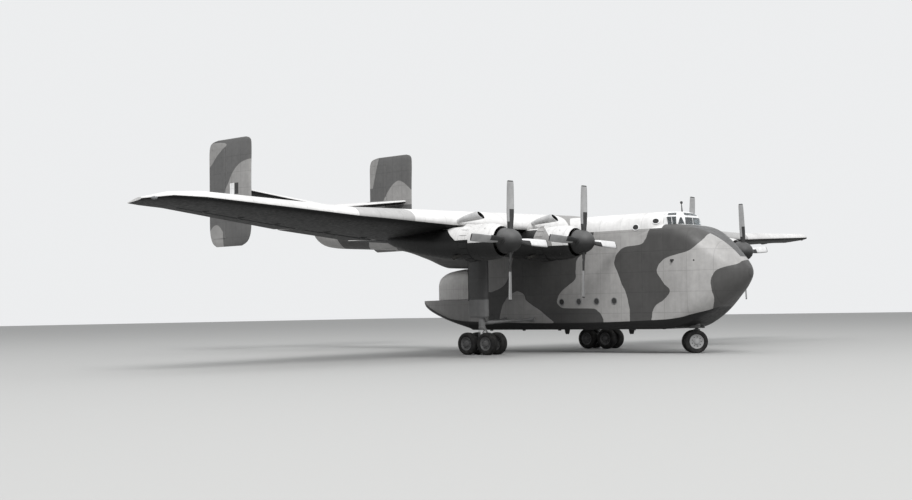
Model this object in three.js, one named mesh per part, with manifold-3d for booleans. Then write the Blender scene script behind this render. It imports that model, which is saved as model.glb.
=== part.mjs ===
// A four-engined military transport plane at 1:2 scale, standing on its fixed wheels.
// Every length below is in metres of the full-size aircraft. The model keeps mm millimetres for each of them.
// x runs forward from the plane of the propellers, y to port and z up from the ground.
import * as THREE from "three";
import { mergeVertices } from "three/addons/utils/BufferGeometryUtils.js";
import Module from "manifold-3d";

const wasm = await Module();
wasm.setup();

// Scale and overall size
const mm = 500;
const noseTipX = 5.8;
const overallLength = 30.3;
const overallHeight = 11.81;
const halfSpan = 24.69;
const tailEndX = noseTipX - overallLength;
const middleX = (noseTipX + tailEndX) / 2;

// Gaps, in metres of the full-size aircraft
const seatGap = 0.0007;
const bearingGap = 0.0015;
const runGap = 0.02;
const endGap = 0.045;
const hingePinRadius = 0.01;
const doorPinRadius = 0.0134;
const doorPivot = 0.01;

// Fuselage
const bodyHalf = 1.65;
const wall = 0.12;
const holdFloorZ = 1.36;
const floorThickness = 0.04;
const holdRoofZ = 4.55;
const deckFloorZ = 4.72;
const holdFrontX = 0.9;
const holdRearX = -9.4;
const deckFrontX = 4.1;
const canopyRearX = 2.15;
const canopyBaseZ = 5.3;
const cornerSteps = 4;

// Crew door in the port side
const crewDoorX0 = 1.2;
const crewDoorX1 = 2.05;
const crewDoorZ0 = 1.6;
const crewDoorZ1 = 3.4;

// Rear doors and tail ramp
const doorTopZ = 4.25;
const rimZ = 2.65;
const doorRearX = -12.6;
const rampRearX = -13.8;

// Wing
const wingLeadX = -2.9;
const wingKinkY = 9.9;
const wingBreakY = 15.4;
const hingeAt = 0.77;

// Engines and propellers
const innerEngineY = 4.5;
const outerEngineY = 9.66;
const innerEngineZ = 5.09;
const outerEngineZ = 4.98;
const cowlRadius = 0.78;
const cowlFrontX = -0.42;
const cowlRearX = -2.15;
const spinnerRadius = 0.54;
const propellerRadius = 2.515;
const intakeFrontX = -1.62;
const intakeRearX = -2.75;
const intakeRise = 1.03;

// Wheels and legs
const mainWheelRadius = 0.53;
const mainWheelWidth = 0.37;
const mainLegY = 4.8;
const mainLegX = -5.8;
const axleSpacing = 1.2;
const pairWidth = 1.07;
const noseWheelRadius = 0.53;
const noseWheelWidth = 0.3;
const nosePairWidth = 0.84;
const noseLegX = 2.95;
const noseTrail = 0.1;
const noseParkedTurn = 45;
const axleRadius = 0.06;
const wheelSides = 24;

// Tail
const finY = 6.3;
const finLeadX = -20.85;
const finLowZ = 5.85;
const tailCentreZ = 8.21;
const tailTipZ = 8.9;
const tailLeadX = -21.15;

const paint = {
  light: { color: 0x8e8d84, roughness: 0.62, metalness: 0.0 },
  dark: { color: 0x4a4b46, roughness: 0.65, metalness: 0.0 },
  black: { color: 0x1b1c1c, roughness: 0.6, metalness: 0.0 },
  tyre: { color: 0x161616, roughness: 0.9, metalness: 0.0 },
  metal: { color: 0x9a9c9c, roughness: 0.4, metalness: 0.8 },
  glass: { color: 0x2a3034, roughness: 0.08, metalness: 0.0 },
  cabin: { color: 0x3a3d3a, roughness: 0.8, metalness: 0.0 },
};

const aircraft = new THREE.Group();
const radians = THREE.MathUtils.degToRad;

// A closed three.js geometry as a solid, turned the right way round.
function solidOf(geometry) {
  const plain = geometry.clone();
  plain.deleteAttribute("normal");
  plain.deleteAttribute("uv");
  const merged = mergeVertices(plain, 1e-4);
  const vertProperties = new Float32Array(merged.attributes.position.array);
  const triVerts = new Uint32Array(merged.index.array);
  const make = () => new wasm.Manifold(new wasm.Mesh({ numProp: 3, vertProperties, triVerts }));
  const first = make();
  if (first.volume() >= 0) return first;
  for (let i = 0; i < triVerts.length; i += 3) {
    const swapped = triVerts[i + 1];
    triVerts[i + 1] = triVerts[i + 2];
    triVerts[i + 2] = swapped;
  }
  return make();
}

// Adds a solid to the aircraft as one named mesh.
function addPiece(name, solid, finish) {
  const made = solid.getMesh();
  const stride = made.numProp;
  const points = new Float32Array(made.numVert * 3);
  for (let i = 0; i < made.numVert; i++) {
    points.set(made.vertProperties.subarray(i * stride, i * stride + 3), i * 3);
  }
  const geometry = new THREE.BufferGeometry();
  geometry.setAttribute("position", new THREE.BufferAttribute(points, 3));
  geometry.setIndex(new THREE.BufferAttribute(made.triVerts, 1));
  geometry.computeVertexNormals();
  const mesh = new THREE.Mesh(geometry, new THREE.MeshStandardMaterial(finish));
  mesh.name = name;
  aircraft.add(mesh);
}

// Joins any number of solids.
function join(...solids) {
  return solids.reduce((all, next) => all.add(next));
}

// A skin through rings of equal count, each a list of [x, y, z], closed at both ends.
function loft(rings) {
  const count = rings[0].length;
  const positions = rings.flat().flatMap(([x, y, z]) => [x * mm, y * mm, z * mm]);
  const index = [];
  for (let r = 0; r + 1 < rings.length; r++) {
    for (let i = 0; i < count; i++) {
      const a = r * count + i;
      const b = r * count + ((i + 1) % count);
      index.push(a, b, b + count, a, b + count, a + count);
    }
  }
  [0, rings.length - 1].forEach((r) => {
    const centre = [0, 1, 2].map((axis) => rings[r].reduce((sum, p) => sum + p[axis], 0) / count);
    const hub = positions.length / 3;
    positions.push(...centre.map((v) => v * mm));
    for (let i = 0; i < count; i++) {
      const a = r * count + i;
      const b = r * count + ((i + 1) % count);
      index.push(...(r === 0 ? [b, a, hub] : [a, b, hub]));
    }
  });
  const geometry = new THREE.BufferGeometry();
  geometry.setAttribute("position", new THREE.Float32BufferAttribute(positions, 3));
  geometry.setIndex(index);
  return solidOf(geometry);
}

// A box between two corners.
function block(x0, x1, y0, y1, z0, z1) {
  const geometry = new THREE.BoxGeometry((x1 - x0) * mm, (y1 - y0) * mm, (z1 - z0) * mm);
  geometry.translate(((x0 + x1) / 2) * mm, ((y0 + y1) / 2) * mm, ((z0 + z1) / 2) * mm);
  return solidOf(geometry);
}

// A round bar between two points, narrowing from one radius to the other.
function bar(from, to, startRadius, endRadius = startRadius, sides = 16) {
  const a = new THREE.Vector3(...from).multiplyScalar(mm);
  const b = new THREE.Vector3(...to).multiplyScalar(mm);
  const along = b.clone().sub(a);
  const geometry = new THREE.CylinderGeometry(endRadius * mm, startRadius * mm, along.length(), sides);
  const up = new THREE.Vector3(0, 1, 0);
  geometry.applyQuaternion(new THREE.Quaternion().setFromUnitVectors(up, along.normalize()));
  geometry.translate(...a.add(b).multiplyScalar(0.5).toArray());
  return solidOf(geometry);
}

// A turned shape about a line along +x: profile is a list of [x, radius], closed on the axis.
function turned(profile, y, z, sides) {
  const points = profile.map(([x, radius]) => new THREE.Vector2(radius * mm, x * mm));
  const geometry = new THREE.LatheGeometry(points, sides);
  geometry.rotateZ(-Math.PI / 2);
  geometry.translate(0, y * mm, z * mm);
  return solidOf(geometry);
}

// An outline of [x, z] points drawn out along y, or of [x, y] points drawn out along z.
function sideOutline(points, y0, y1) {
  const shape = new THREE.Shape(points.map(([x, z]) => new THREE.Vector2(x * mm, z * mm)));
  const geometry = new THREE.ExtrudeGeometry(shape, { depth: (y1 - y0) * mm, bevelEnabled: false });
  geometry.rotateX(Math.PI / 2);
  geometry.translate(0, y1 * mm, 0);
  return solidOf(geometry);
}
function planOutline(points, z0, z1) {
  const shape = new THREE.Shape(points.map(([x, y]) => new THREE.Vector2(x * mm, y * mm)));
  const geometry = new THREE.ExtrudeGeometry(shape, { depth: (z1 - z0) * mm, bevelEnabled: false });
  geometry.translate(0, 0, z0 * mm);
  return solidOf(geometry);
}

// Body sections: a flat floor, sides and roof with round corners.
function bodyRing([x, half, low, high, lowRound, highRound]) {
  const corners = [
    [half - lowRound, low + lowRound, lowRound, -90],
    [half - highRound, high - highRound, highRound, 0],
    [highRound - half, high - highRound, highRound, 90],
    [lowRound - half, low + lowRound, lowRound, 180],
  ];
  return corners.flatMap(([y, z, radius, start]) =>
    Array.from({ length: cornerSteps + 1 }, (_, step) => {
      const angle = radians(start + (90 * step) / cornerSteps);
      return [x, y + radius * Math.cos(angle), z + radius * Math.sin(angle)];
    }),
  );
}
function body(rows) {
  return loft(rows.map(bodyRing));
}

// The same sections drawn in by the wall.
function inner(rows) {
  return rows.map(([x, half, low, high, lowRound, highRound]) => [
    x,
    half - wall,
    low + wall,
    high - wall,
    Math.max(lowRound - wall, 0.05),
    Math.max(highRound - wall, 0.05),
  ]);
}

// Columns: x, half width, floor, roof, lower corner radius, upper corner radius
const noseRows = [
  [holdFrontX, bodyHalf, 1.12, 5.86, 0.4, 0.5],
  [2.0, bodyHalf, 1.13, 5.86, 0.42, 0.5],
  [2.8, 1.64, 1.24, 5.84, 0.5, 0.55],
  [3.6, 1.57, 1.58, 5.64, 0.72, 0.75],
  [4.25, 1.4, 1.95, 5.3, 0.88, 0.95],
  [4.85, 1.13, 2.38, 4.84, 0.95, 0.95],
  [5.3, 0.82, 2.79, 4.4, 0.76, 0.76],
  [5.62, 0.47, 3.16, 4.0, 0.38, 0.38],
  [noseTipX, 0.16, 3.44, 3.72, 0.1, 0.1],
];
const upperDeckRows = [
  [holdFrontX, bodyHalf, 4.9, 6.46, 0.1, 0.74],
  [1.4, 1.6, 4.9, 6.46, 0.1, 0.72],
  [canopyRearX, 1.3, 4.9, 6.46, 0.1, 0.5],
];
const holdRows = [
  [holdRearX, bodyHalf, 1.12, 6.46, 0.4, 0.74],
  [holdFrontX - seatGap, bodyHalf, 1.12, 6.46, 0.4, 0.74],
];
// The roof that runs from behind the wing's crest into the tail boom, seen from the side: x, z
const roofBehindWing = [
  [-9.45, 5.42],
  [-5.2, 5.9],
  [-5.2, 7],
  [-9.45, 7],
];
const boomRows = [
  [holdRearX - seatGap, bodyHalf, 4.3, 6.46, 0.1, 0.74],
  [-11.4, 1.6, 4.34, 6.78, 0.8, 0.78],
  [-13.1, 1.5, 4.85, 7.05, 1.05, 0.85],
  [-15.2, 1.35, 5.42, 7.38, 0.95, 0.85],
  [-18.2, 1.12, 5.72, 7.84, 0.85, 0.8],
  [-20.9, 0.9, 5.92, 8.1, 0.75, 0.6],
  [-22.0, 0.7, 6.2, 8.1, 0.6, 0.5],
  [-22.6, 0.3, 6.9, 7.9, 0.25, 0.25],
];

// Aerofoil sections. Columns: part of the chord, part of the thickness above and below the chord line
const cambered = [
  [0.012, 0.19, 0.14],
  [0.05, 0.41, 0.24],
  [0.14, 0.61, 0.3],
  [0.3, 0.7, 0.32],
  [0.5, 0.61, 0.28],
  [hingeAt, 0.31, 0.17],
];
const symmetric = [
  [0.02, 0.19, 0.19],
  [0.1, 0.38, 0.38],
  [0.3, 0.5, 0.5],
  [0.55, 0.38, 0.38],
  [hingeAt, 0.22, 0.22],
];
const trailingEdge = 0.025;

// One section: lead and trail are [x, z] ends of its chord, placed by the function put(x, offset).
function foilRing(foil, leadX, trailX, leadZ, trailZ, thickness, put, grow = 0) {
  const chord = leadX - trailX;
  const at = (part, offset) => put(leadX - part * chord, leadZ + part * (trailZ - leadZ) + offset);
  const upper = foil.map(([part, above]) => at(part, above * thickness + grow));
  const lower = foil.map(([part, , below]) => at(part, -below * thickness - grow));
  const half = trailingEdge / 2 + grow;
  return [
    at(-grow / chord, 0),
    ...upper,
    at(1 + grow / chord, half),
    at(1 + grow / chord, -half),
    ...lower.reverse(),
  ];
}

// The hinged part behind a fixed surface: a round nose about the hinge line, then straight to the tail.
function flapRing(foil, leadX, trailX, leadZ, trailZ, thickness, put) {
  const chord = leadX - trailX;
  const [part, above, below] = foil[foil.length - 1];
  const radius = ((above + below) / 2) * thickness;
  const middle = ((above - below) / 2) * thickness;
  const centreX = leadX - part * chord;
  const centreZ = leadZ + part * (trailZ - leadZ) + middle;
  const nose = [90, 50, 15, -15, -50, -90].map((turn) =>
    put(centreX + radius * Math.cos(radians(turn)), centreZ + radius * Math.sin(radians(turn))),
  );
  return [...nose, put(trailX, trailZ - trailingEdge / 2), put(trailX, trailZ + trailingEdge / 2)];
}

// Wing stations. Columns: y, leading edge x, trailing edge x, leading edge z, trailing edge z, thickness
const wingStations = [
  [0, wingLeadX, -10.1, 5.96, 5.35, 1.3],
  [wingKinkY, wingLeadX, -9.4, 5.92, 5.4, 1.02],
  [wingBreakY, -2.96, -7.9, 5.98, 5.62, 0.7],
  [22.9, -3.12, -5.86, 6.3, 6.08, 0.44],
  [24.0, -3.6, -5.72, 6.34, 6.12, 0.3],
  [halfSpan - 0.01, -4.6, -5.45, 6.26, 6.14, 0.1],
];
// Tailplane stations, in the same columns
const tailStations = [
  [0, tailLeadX, -24.45, tailCentreZ, tailCentreZ - 0.05, 0.42],
  [finY, tailLeadX - 0.12, -23.7, tailTipZ, tailTipZ - 0.05, 0.27],
];
function stationAt(stations, y) {
  const next = Math.max(1, stations.findIndex((row) => row[0] >= y));
  const [a, b] = [stations[next - 1], stations[next]];
  const part = (y - a[0]) / (b[0] - a[0]);
  return a.map((value, i) => value + part * (b[i] - value));
}
function ringOn(row, foil, side, ringOf = foilRing, grow = 0) {
  const [y, leadX, trailX, leadZ, trailZ, thickness] = row;
  const put = (x, z) => [x, side * y, z];
  return ringOf(foil, leadX, trailX, leadZ, trailZ, thickness, put, grow);
}
function wingRing(y, side, ringOf, grow) {
  return ringOn(stationAt(wingStations, y), cambered, side, ringOf, grow);
}
function tailRing(y, side, ringOf, grow) {
  return ringOn(stationAt(tailStations, y), symmetric, side, ringOf, grow);
}

// A hinged surface between two stations. Its ends are square to the hinge line, so that they run clear.
// It returns the surface, and the space that the fixed part in front leaves for it.
function hinged(stations, foil, y0, y1, side) {
  const ends = [y0, y1].map((y) => stationAt(stations, y));
  const [, above, below] = foil[foil.length - 1];
  const hinge = ends.map(([y, leadX, trailX]) => [leadX - hingeAt * (leadX - trailX), y]);
  const slant = (hinge[1][0] - hinge[0][0]) / (y1 - y0);
  const reach = (end) => ((above + below) / 2) * ends[end][5];
  const outline = (ahead, beside) => {
    const corner = (end, forward) => {
      const out = end ? beside : -beside;
      return [hinge[end][0] + slant * out + forward, side * (hinge[end][1] + out - slant * forward)];
    };
    const aft = -4;
    const front = [corner(0, reach(0) + ahead), corner(1, reach(1) + ahead)];
    return planOutline([...front, corner(1, aft), corner(0, aft)], 4, 10);
  };
  const over = 0.12;
  const between = (part) => ends[0].map((value, i) => value + part * (ends[1][i] - value));
  const longer = [-over, 1 + over].map(between);
  const surface = loft(longer.map((row) => ringOn(row, foil, side, flapRing))).intersect(outline(0.1, 0));
  const pinReach = (endGap + 0.1) / (y1 - y0);
  const axisAt = (part) => {
    const [y, leadX, trailX, leadZ, trailZ, thickness] = between(part);
    const z = leadZ + hingeAt * (trailZ - leadZ) + ((above - below) / 2) * thickness;
    return [leadX - hingeAt * (leadX - trailX), side * y, z];
  };
  const pins = [
    [-pinReach, 0],
    [1 + pinReach, 1],
  ].map(([from, to]) => bar(axisAt(from), axisAt(to), hingePinRadius, hingePinRadius, 10));
  const trim = outline(0.1, seatGap);
  return { surface, space: outline(runGap, endGap), pins: join(...pins).subtract(trim) };
}

// Wing flaps and ailerons. Columns: name, inner y, outer y
const wingHinges = [
  ["inner_flap", 1.8, 9.7],
  ["outer_flap", 10.1, 15.2],
  ["aileron", 15.65, 22.7],
];
const sides = [
  ["left", 1],
  ["right", -1],
];

// A lug with an upright hinge pin, behind the pivot at x and outside the body's side
const lugLength = 0.24;
const crewDoorLugs = [1.8, 2.95];
const rearDoorLugs = [2.8, 3.85];
function doorLug(x, sign, z) {
  const y = sign * (bodyHalf + doorPivot);
  const inside = y - sign * 0.08;
  const low = z;
  const high = z + lugLength;
  const plate = block(x - 0.05, x, Math.min(y, inside), Math.max(y, inside), low, high);
  return join(plate, bar([x, y, low], [x, y, high], doorPinRadius, doorPinRadius, 12));
}

function makeFuselage() {
  const cavityRows = inner(noseRows).map(([x, ...rest]) => [x > 2.5 ? x - wall : x, ...rest]);
  const cavity = body([[holdFrontX - 0.1, ...cavityRows[0].slice(1)], ...cavityRows.slice(0, 7)]);
  const upper = inner(upperDeckRows).map(([x, half, , ...rest]) => [x, half, deckFloorZ, ...rest]);
  const deckRearX = holdFrontX + wall;
  const flightDeck = join(
    body(upper).intersect(block(deckRearX, canopyRearX + 0.1, -2, 2, 4, 7)),
    body([canopyRearX - 0.1, canopyRearX + 0.1].map((x) => [x, ...upper[2].slice(1)])),
    cavity.intersect(block(deckRearX, deckFrontX, -2, 2, deckFloorZ, 7)),
    block(canopyRearX - 0.1, 3.15, -0.95, 0.95, 5, 6),
    block(holdFrontX - 0.1, deckRearX + 0.1, -0.45, 0.45, deckFloorZ, 6.1),
  );
  const lowerNose = cavity.intersect(block(0, 4.9, -2, 2, holdFloorZ, holdRoofZ));
  const outside = join(body(noseRows), body(upperDeckRows));
  const doorway = block(crewDoorX0, crewDoorX1, 1.2, 2, crewDoorZ0, crewDoorZ1);
  const shell = outside.subtract(flightDeck).subtract(lowerNose).subtract(doorway);
  addPiece("nose_shell", shell, paint.light);
  const door = block(
    crewDoorX0 + runGap,
    crewDoorX1 - runGap,
    bodyHalf - wall,
    bodyHalf,
    crewDoorZ0 + runGap,
    crewDoorZ1 - runGap,
  );
  const pivotX = crewDoorX1 - doorPivot;
  const lugs = crewDoorLugs.map((z) => doorLug(pivotX, 1, z));
  addPiece("crew_door", join(door, ...lugs), paint.light);

  const seatOn = (ring, tipY) =>
    join(...[1, -1].map((side) => loft([0, tipY].map((y) => ring(y, side, foilRing, seatGap)))));
  const wingRoot = seatOn(wingRing, wingKinkY);
  const holdHalf = bodyHalf - wall;
  const hold = block(holdRearX - 1, holdFrontX + 1, -holdHalf, holdHalf, holdFloorZ, holdRoofZ);
  const whole = body(holdRows);
  const behindWing = sideOutline(roofBehindWing, -2, 2);
  addPiece("hold_shell", whole.subtract(behindWing).subtract(hold).subtract(wingRoot), paint.dark);
  const floorHalf = holdHalf - 0.01;
  const floorTop = holdFloorZ + floorThickness;
  const [floorRearX, floorFrontX] = [holdRearX + 0.02, holdFrontX - 0.02];
  const floor = block(floorRearX, floorFrontX, -floorHalf, floorHalf, holdFloorZ + seatGap, floorTop);
  addPiece("hold_floor", floor, paint.metal);
  const section = holdRows[0].slice(1);
  const aftRoof = body([-9.45, -5.2].map((x) => [x, ...section])).intersect(behindWing);
  const boom = join(body(boomRows), aftRoof);
  addPiece("tail_boom", boom.subtract(wingRoot).subtract(seatOn(tailRing, finY)), paint.dark);
}

// The canopy over the flight deck. Columns: x, half width at the base, half width of the roof, roof z
const canopyRows = [
  [canopyRearX + seatGap, 1.3, 0.96, 6.46],
  [2.5, 1.27, 0.92, 6.47],
  [2.84, 1.18, 0.82, 6.42],
  [3.18, 1.04, 0.7, 6.1],
  [3.6, 0.78, 0.52, 5.66],
];
const canopyShoulder = 6.18;
function canopySkin(inset) {
  return loft(
    canopyRows.map(([x, sill, roof, top], row) => {
      const at = row === canopyRows.length - 1 ? x - 2.5 * inset : x;
      const high = top - inset;
      const shoulder = Math.min(canopyShoulder, top - 0.12) - inset;
      const waist = (sill + roof) / 2 + 0.08 - inset;
      const edge = roof - inset - 0.14;
      return [
        [at, sill - inset, canopyBaseZ],
        [at, waist, shoulder],
        [at, edge, high],
        [at, -edge, high],
        [at, -waist, shoulder],
        [at, inset - sill, canopyBaseZ],
      ];
    }),
  );
}
// Canopy windows. Columns: x from, x to, y from, y to, z from, z to, each mirrored to the other side
const canopyWindows = [
  [2.28, 2.66, 0.85, 1.5, 5.9, 6.16],
  [2.76, 3.0, 0.85, 1.5, 5.9, 6.12],
  [2.25, 2.48, 0.2, 0.72, 6.3, 6.8],
  [2.56, 2.78, 0.18, 0.62, 6.3, 6.8],
  [3.04, 4.0, 0.03, 0.38, 5.9, 6.16],
  [3.04, 4.0, 0.45, 0.8, 5.9, 6.12],
];
function makeCanopy() {
  const openings = canopyWindows.flatMap(([x0, x1, y0, y1, z0, z1]) => [
    block(x0, x1, y0, y1, z0, z1),
    block(x0, x1, -y1, -y0, z0, z1),
  ]);
  const deck = body(noseRows.map(([x, half, low, high, ...rest]) => [x, half, low, high + seatGap, ...rest]));
  const frame = canopySkin(0).subtract(canopySkin(0.06)).subtract(deck);
  addPiece("canopy_frame", frame.subtract(join(...openings)), paint.light);
  const glass = canopySkin(0.06 + seatGap).subtract(canopySkin(0.085)).subtract(deck);
  addPiece("canopy_glass", glass.intersect(block(2.2, 4.3, -2, 2, 5, 7)), paint.glass);
}

// Seats and instrument panel seen through the canopy
function makeFlightDeck() {
  for (const [side, sign] of sides) {
    const y = sign * 0.55;
    const seat = join(
      block(2.0, 2.5, y - 0.24, y + 0.24, deckFloorZ + seatGap, deckFloorZ + 0.5),
      block(1.9, 2.06, y - 0.24, y + 0.24, deckFloorZ + seatGap, deckFloorZ + 1.25),
    );
    addPiece(`pilot_seat_${side}`, seat, paint.cabin);
  }
  const panel = join(
    block(3.1, 3.3, -1.0, 1.0, 5.1, 5.5),
    block(3.15, 3.3, -0.2, 0.2, deckFloorZ + seatGap, 5.3),
  );
  addPiece("instrument_panel", panel, paint.cabin);
}

// Two side-hinged rear doors under a rounded top, over a boat-shaped ramp
// Columns: height, part of the doors' length behind the hinges
const doorLevels = [
  [rimZ + runGap, 1],
  [3.4, 1],
  [3.72, 0.97],
  [3.96, 0.88],
  [4.13, 0.74],
  [doorTopZ, 0.5],
];
const doorSteps = 14;
function doorStack(inset, low) {
  const length = holdRearX - runGap - doorRearX;
  const half = bodyHalf - 0.01;
  return loft(doorLevels.map(([z, part], level) => [
    ...Array.from({ length: doorSteps + 1 }, (_, step) => {
      const angle = radians(-90 + (180 * step) / doorSteps);
      const x = holdRearX - runGap - (length * part - inset) * Math.cos(angle);
      return [x, (half - inset) * Math.sin(angle), level ? z - inset : low];
    }),
    [holdRearX - runGap + inset * 3, half - inset, level ? z - inset : low],
    [holdRearX - runGap + inset * 3, inset - half, level ? z - inset : low],
  ]));
}
const rampPlan = [
  [holdRearX - runGap, 1.64],
  [-10.6, 1.62],
  [-11.8, 1.42],
  [-12.8, 1.02],
  [-13.5, 0.52],
  [rampRearX, 0.2],
];
const rampSide = [
  [holdRearX - runGap, 1.14],
  [-11.0, 1.55],
  [-12.2, 1.92],
  [-13.05, 2.22],
  [-13.55, 2.46],
  [rampRearX, rimZ - 0.03],
  [rampRearX, rimZ],
  [holdRearX - runGap, rimZ],
];
function makeRearDoors() {
  const shell = doorStack(0, rimZ + runGap).subtract(doorStack(wall, rimZ - 0.1));
  for (const [side, sign] of sides) {
    const y0 = sign > 0 ? runGap / 2 : -3;
    const leaf = shell.intersect(block(-14, -9, y0, y0 + 3 - runGap / 2, 2, 5));
    const lugs = rearDoorLugs.map((z) => doorLug(holdRearX - doorPivot, sign, z));
    addPiece(`rear_door_${side}`, join(leaf, ...lugs), paint.light);
  }

  const bothSides = [...rampPlan, ...rampPlan.map(([x, y]) => [x, -y]).reverse()];
  const hull = planOutline(bothSides, 1, rimZ).intersect(sideOutline(rampSide, -2, 2));
  const scoopSide = [
    [holdRearX + 0.5, 1.34],
    [-9.5, 1.34],
    [-11.0, 1.74],
    [-12.1, 2.08],
    [-12.4, 2.3],
    [-12.4, rimZ + 0.2],
    [holdRearX + 0.5, rimZ + 0.2],
  ];
  const scoopPlan = [
    [holdRearX + 0.5, bodyHalf - wall],
    [-10.6, 1.5],
    [-11.8, 1.3],
    [-12.4, 0.95],
    [-12.4, -0.95],
    [-11.8, -1.3],
    [-10.6, -1.5],
    [holdRearX + 0.5, wall - bodyHalf],
  ];
  const scoop = planOutline(scoopPlan, 1, 3).intersect(sideOutline(scoopSide, -2, 2));
  const rampLugs = [-1, -0.1, 0.8].map((y) => {
    const [x, z] = [holdRearX - doorPivot, 1.12 + doorPivot];
    const pin = doorPivot - seatGap;
    return join(block(x - 0.05, x, y, y + 0.2, z, z + 0.1), bar([x, y, z], [x, y + 0.2, z], pin, pin, 12));
  });
  addPiece("tail_ramp", join(hull.subtract(scoop), ...rampLugs), paint.light);
}

// Nacelle bodies behind the cowls. Columns: x, half width, bottom below the engine line, top below the wing
const nacelleRows = [
  [cowlRearX - seatGap, 0.74, 0.74, 0.74],
  [-3.2, 0.7, 0.68, 0.7],
  [-4.4, 0.6, 0.52, 0.75],
  [-5.6, 0.46, 0.3, 0.75],
  [-6.6, 0.26, 0.02, 0.7],
  [-7.1, 0.08, -0.18, 0.55],
];
function nacelle(y, z) {
  const steps = 16;
  return loft(nacelleRows.map(([x, half, below, above]) =>
    Array.from({ length: steps }, (_, step) => {
      const angle = (2 * Math.PI * step) / steps;
      const middle = z + (above - below) / 2;
      return [x, y + half * Math.cos(angle), middle + ((above + below) / 2) * Math.sin(angle)];
    }),
  ));
}
// Columns: name, y, z, parked turn of the propeller in degrees
const engines = [
  ["outer_left", outerEngineY, outerEngineZ, -4],
  ["inner_left", innerEngineY, innerEngineZ, 5.2],
  ["inner_right", -innerEngineY, innerEngineZ, 2.3],
  ["outer_right", -outerEngineY, outerEngineZ, 1.5],
];
const legSection = [
  [0.4, 0],
  [0.3, 0.13],
  [0.05, 0.2],
  [-0.3, 0.15],
  [-0.78, 0.02],
  [-0.78, -0.02],
  [-0.3, -0.15],
  [0.05, -0.2],
  [0.3, -0.13],
];
const legTopZ = 4.98;
function legFairing(sign, z0, z1, grow) {
  const points = legSection.map(([x, y]) => [
    mainLegX + x * (1 + grow),
    sign * mainLegY + y * (1 + 3 * grow),
  ]);
  return planOutline(points, z0, z1);
}

function makeWing() {
  const innerYs = [0, wingKinkY, wingBreakY - seatGap];
  const outerYs = [wingBreakY, ...wingStations.slice(3).map((row) => row[0])];
  let centre = join(...[1, -1].map((side) => loft(innerYs.map((y) => wingRing(y, side)))));
  for (const [side, sign] of sides) {
    let outer = loft(outerYs.map((y) => wingRing(y, sign)));
    for (const [name, y0, y1] of wingHinges) {
      const { surface, space, pins } = hinged(wingStations, cambered, y0, y1, sign);
      centre = centre.subtract(space);
      outer = outer.subtract(space);
      if (y0 < wingBreakY) centre = centre.add(pins);
      else outer = outer.add(pins);
      addPiece(`${name}_${side}`, surface, paint.dark);
    }
    addPiece(`outer_wing_${side}`, outer, paint.dark);
  }
  addPiece("wing_centre", centre, paint.dark);

  const seatIn = (side) => loft([0, wingKinkY, 12].map((y) => wingRing(y, side, foilRing, seatGap)));
  const around = join(seatIn(1), seatIn(-1));
  for (const [name, y, z] of engines) {
    const front = [intakeFrontX, y, z + intakeRise];
    const rear = [intakeRearX, y, z + intakeRise - 0.26];
    const mouth = bar([front[0] + 0.1, y, front[2]], [front[0] - 0.22, y, front[2] - 0.03], 0.13, 0.13, 12);
    const intake = bar(front, rear, 0.17, 0.1, 12).subtract(mouth);
    const whole = join(nacelle(y, z), intake).subtract(around);
    const socket = legFairing(Math.sign(y), 3, legTopZ + seatGap, 0.004);
    addPiece(`nacelle_${name}`, whole.subtract(socket), paint.dark);
  }
}

function makeEngines() {
  for (const [name, y, z, parked] of engines) {
    const cowlProfile = [
      [cowlRearX, cowlRadius - 0.1],
      [cowlRearX, cowlRadius - 0.02],
      [-1.5, cowlRadius],
      [-0.85, cowlRadius - 0.02],
      [-0.5, cowlRadius - 0.1],
      [cowlFrontX, cowlRadius - 0.15],
      [-0.5, cowlRadius - 0.17],
      [-0.85, cowlRadius - 0.1],
      [cowlRearX, cowlRadius - 0.1],
    ];
    addPiece(`cowl_${name}`, turned(cowlProfile, y, z, 24), paint.light);
    const blockProfile = [
      [cowlRearX + seatGap, 0],
      [cowlRearX + seatGap, 0.6],
      [-0.9, 0.6],
      [-0.9, 0.3],
      [-0.52, 0.24],
      [-0.52, 0],
    ];
    addPiece(`engine_${name}`, turned(blockProfile, y, z, 16), paint.metal);
    addPiece(`propeller_${name}`, propeller(y, z, parked), paint.metal);
  }
}

// Blade stations. Columns: radius, chord, thickness, pitch in degrees
const bladeStations = [
  [0.35, 0.2, 0.18, 50],
  [0.7, 0.25, 0.12, 38],
  [1.2, 0.31, 0.075, 27],
  [1.8, 0.31, 0.05, 21],
  [2.35, 0.27, 0.035, 17],
  [propellerRadius, 0.15, 0.02, 16],
];
function propeller(y, z, parked) {
  const spinner = turned(
    [
      [-0.38, 0],
      [-0.38, spinnerRadius - 0.04],
      [-0.3, spinnerRadius],
      [0.0, spinnerRadius - 0.03],
      [0.24, spinnerRadius - 0.12],
      [0.42, spinnerRadius - 0.27],
      [0.5, 0],
    ],
    y,
    z,
    20,
  );
  const shaft = bar([-0.52 + seatGap, y, z], [-0.3, y, z], 0.1);
  const blade = (quarter) => {
    const turn = radians(parked + 90 * quarter);
    return loft(bladeStations.map(([radius, chord, thickness, pitch]) =>
      [0, 60, 120, 180, 240, 300].map((angle) => {
        const along = (chord / 2) * Math.cos(radians(angle));
        const across = (thickness / 2) * Math.sin(radians(angle));
        const forward = along * Math.sin(radians(pitch)) + across * Math.cos(radians(pitch));
        const aside = along * Math.cos(radians(pitch)) - across * Math.sin(radians(pitch));
        return [
          forward,
          y + radius * Math.sin(turn) + aside * Math.cos(turn),
          z + radius * Math.cos(turn) - aside * Math.sin(turn),
        ];
      }),
    ));
  };
  return join(spinner, shaft, ...[0, 1, 2, 3].map(blade));
}

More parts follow.
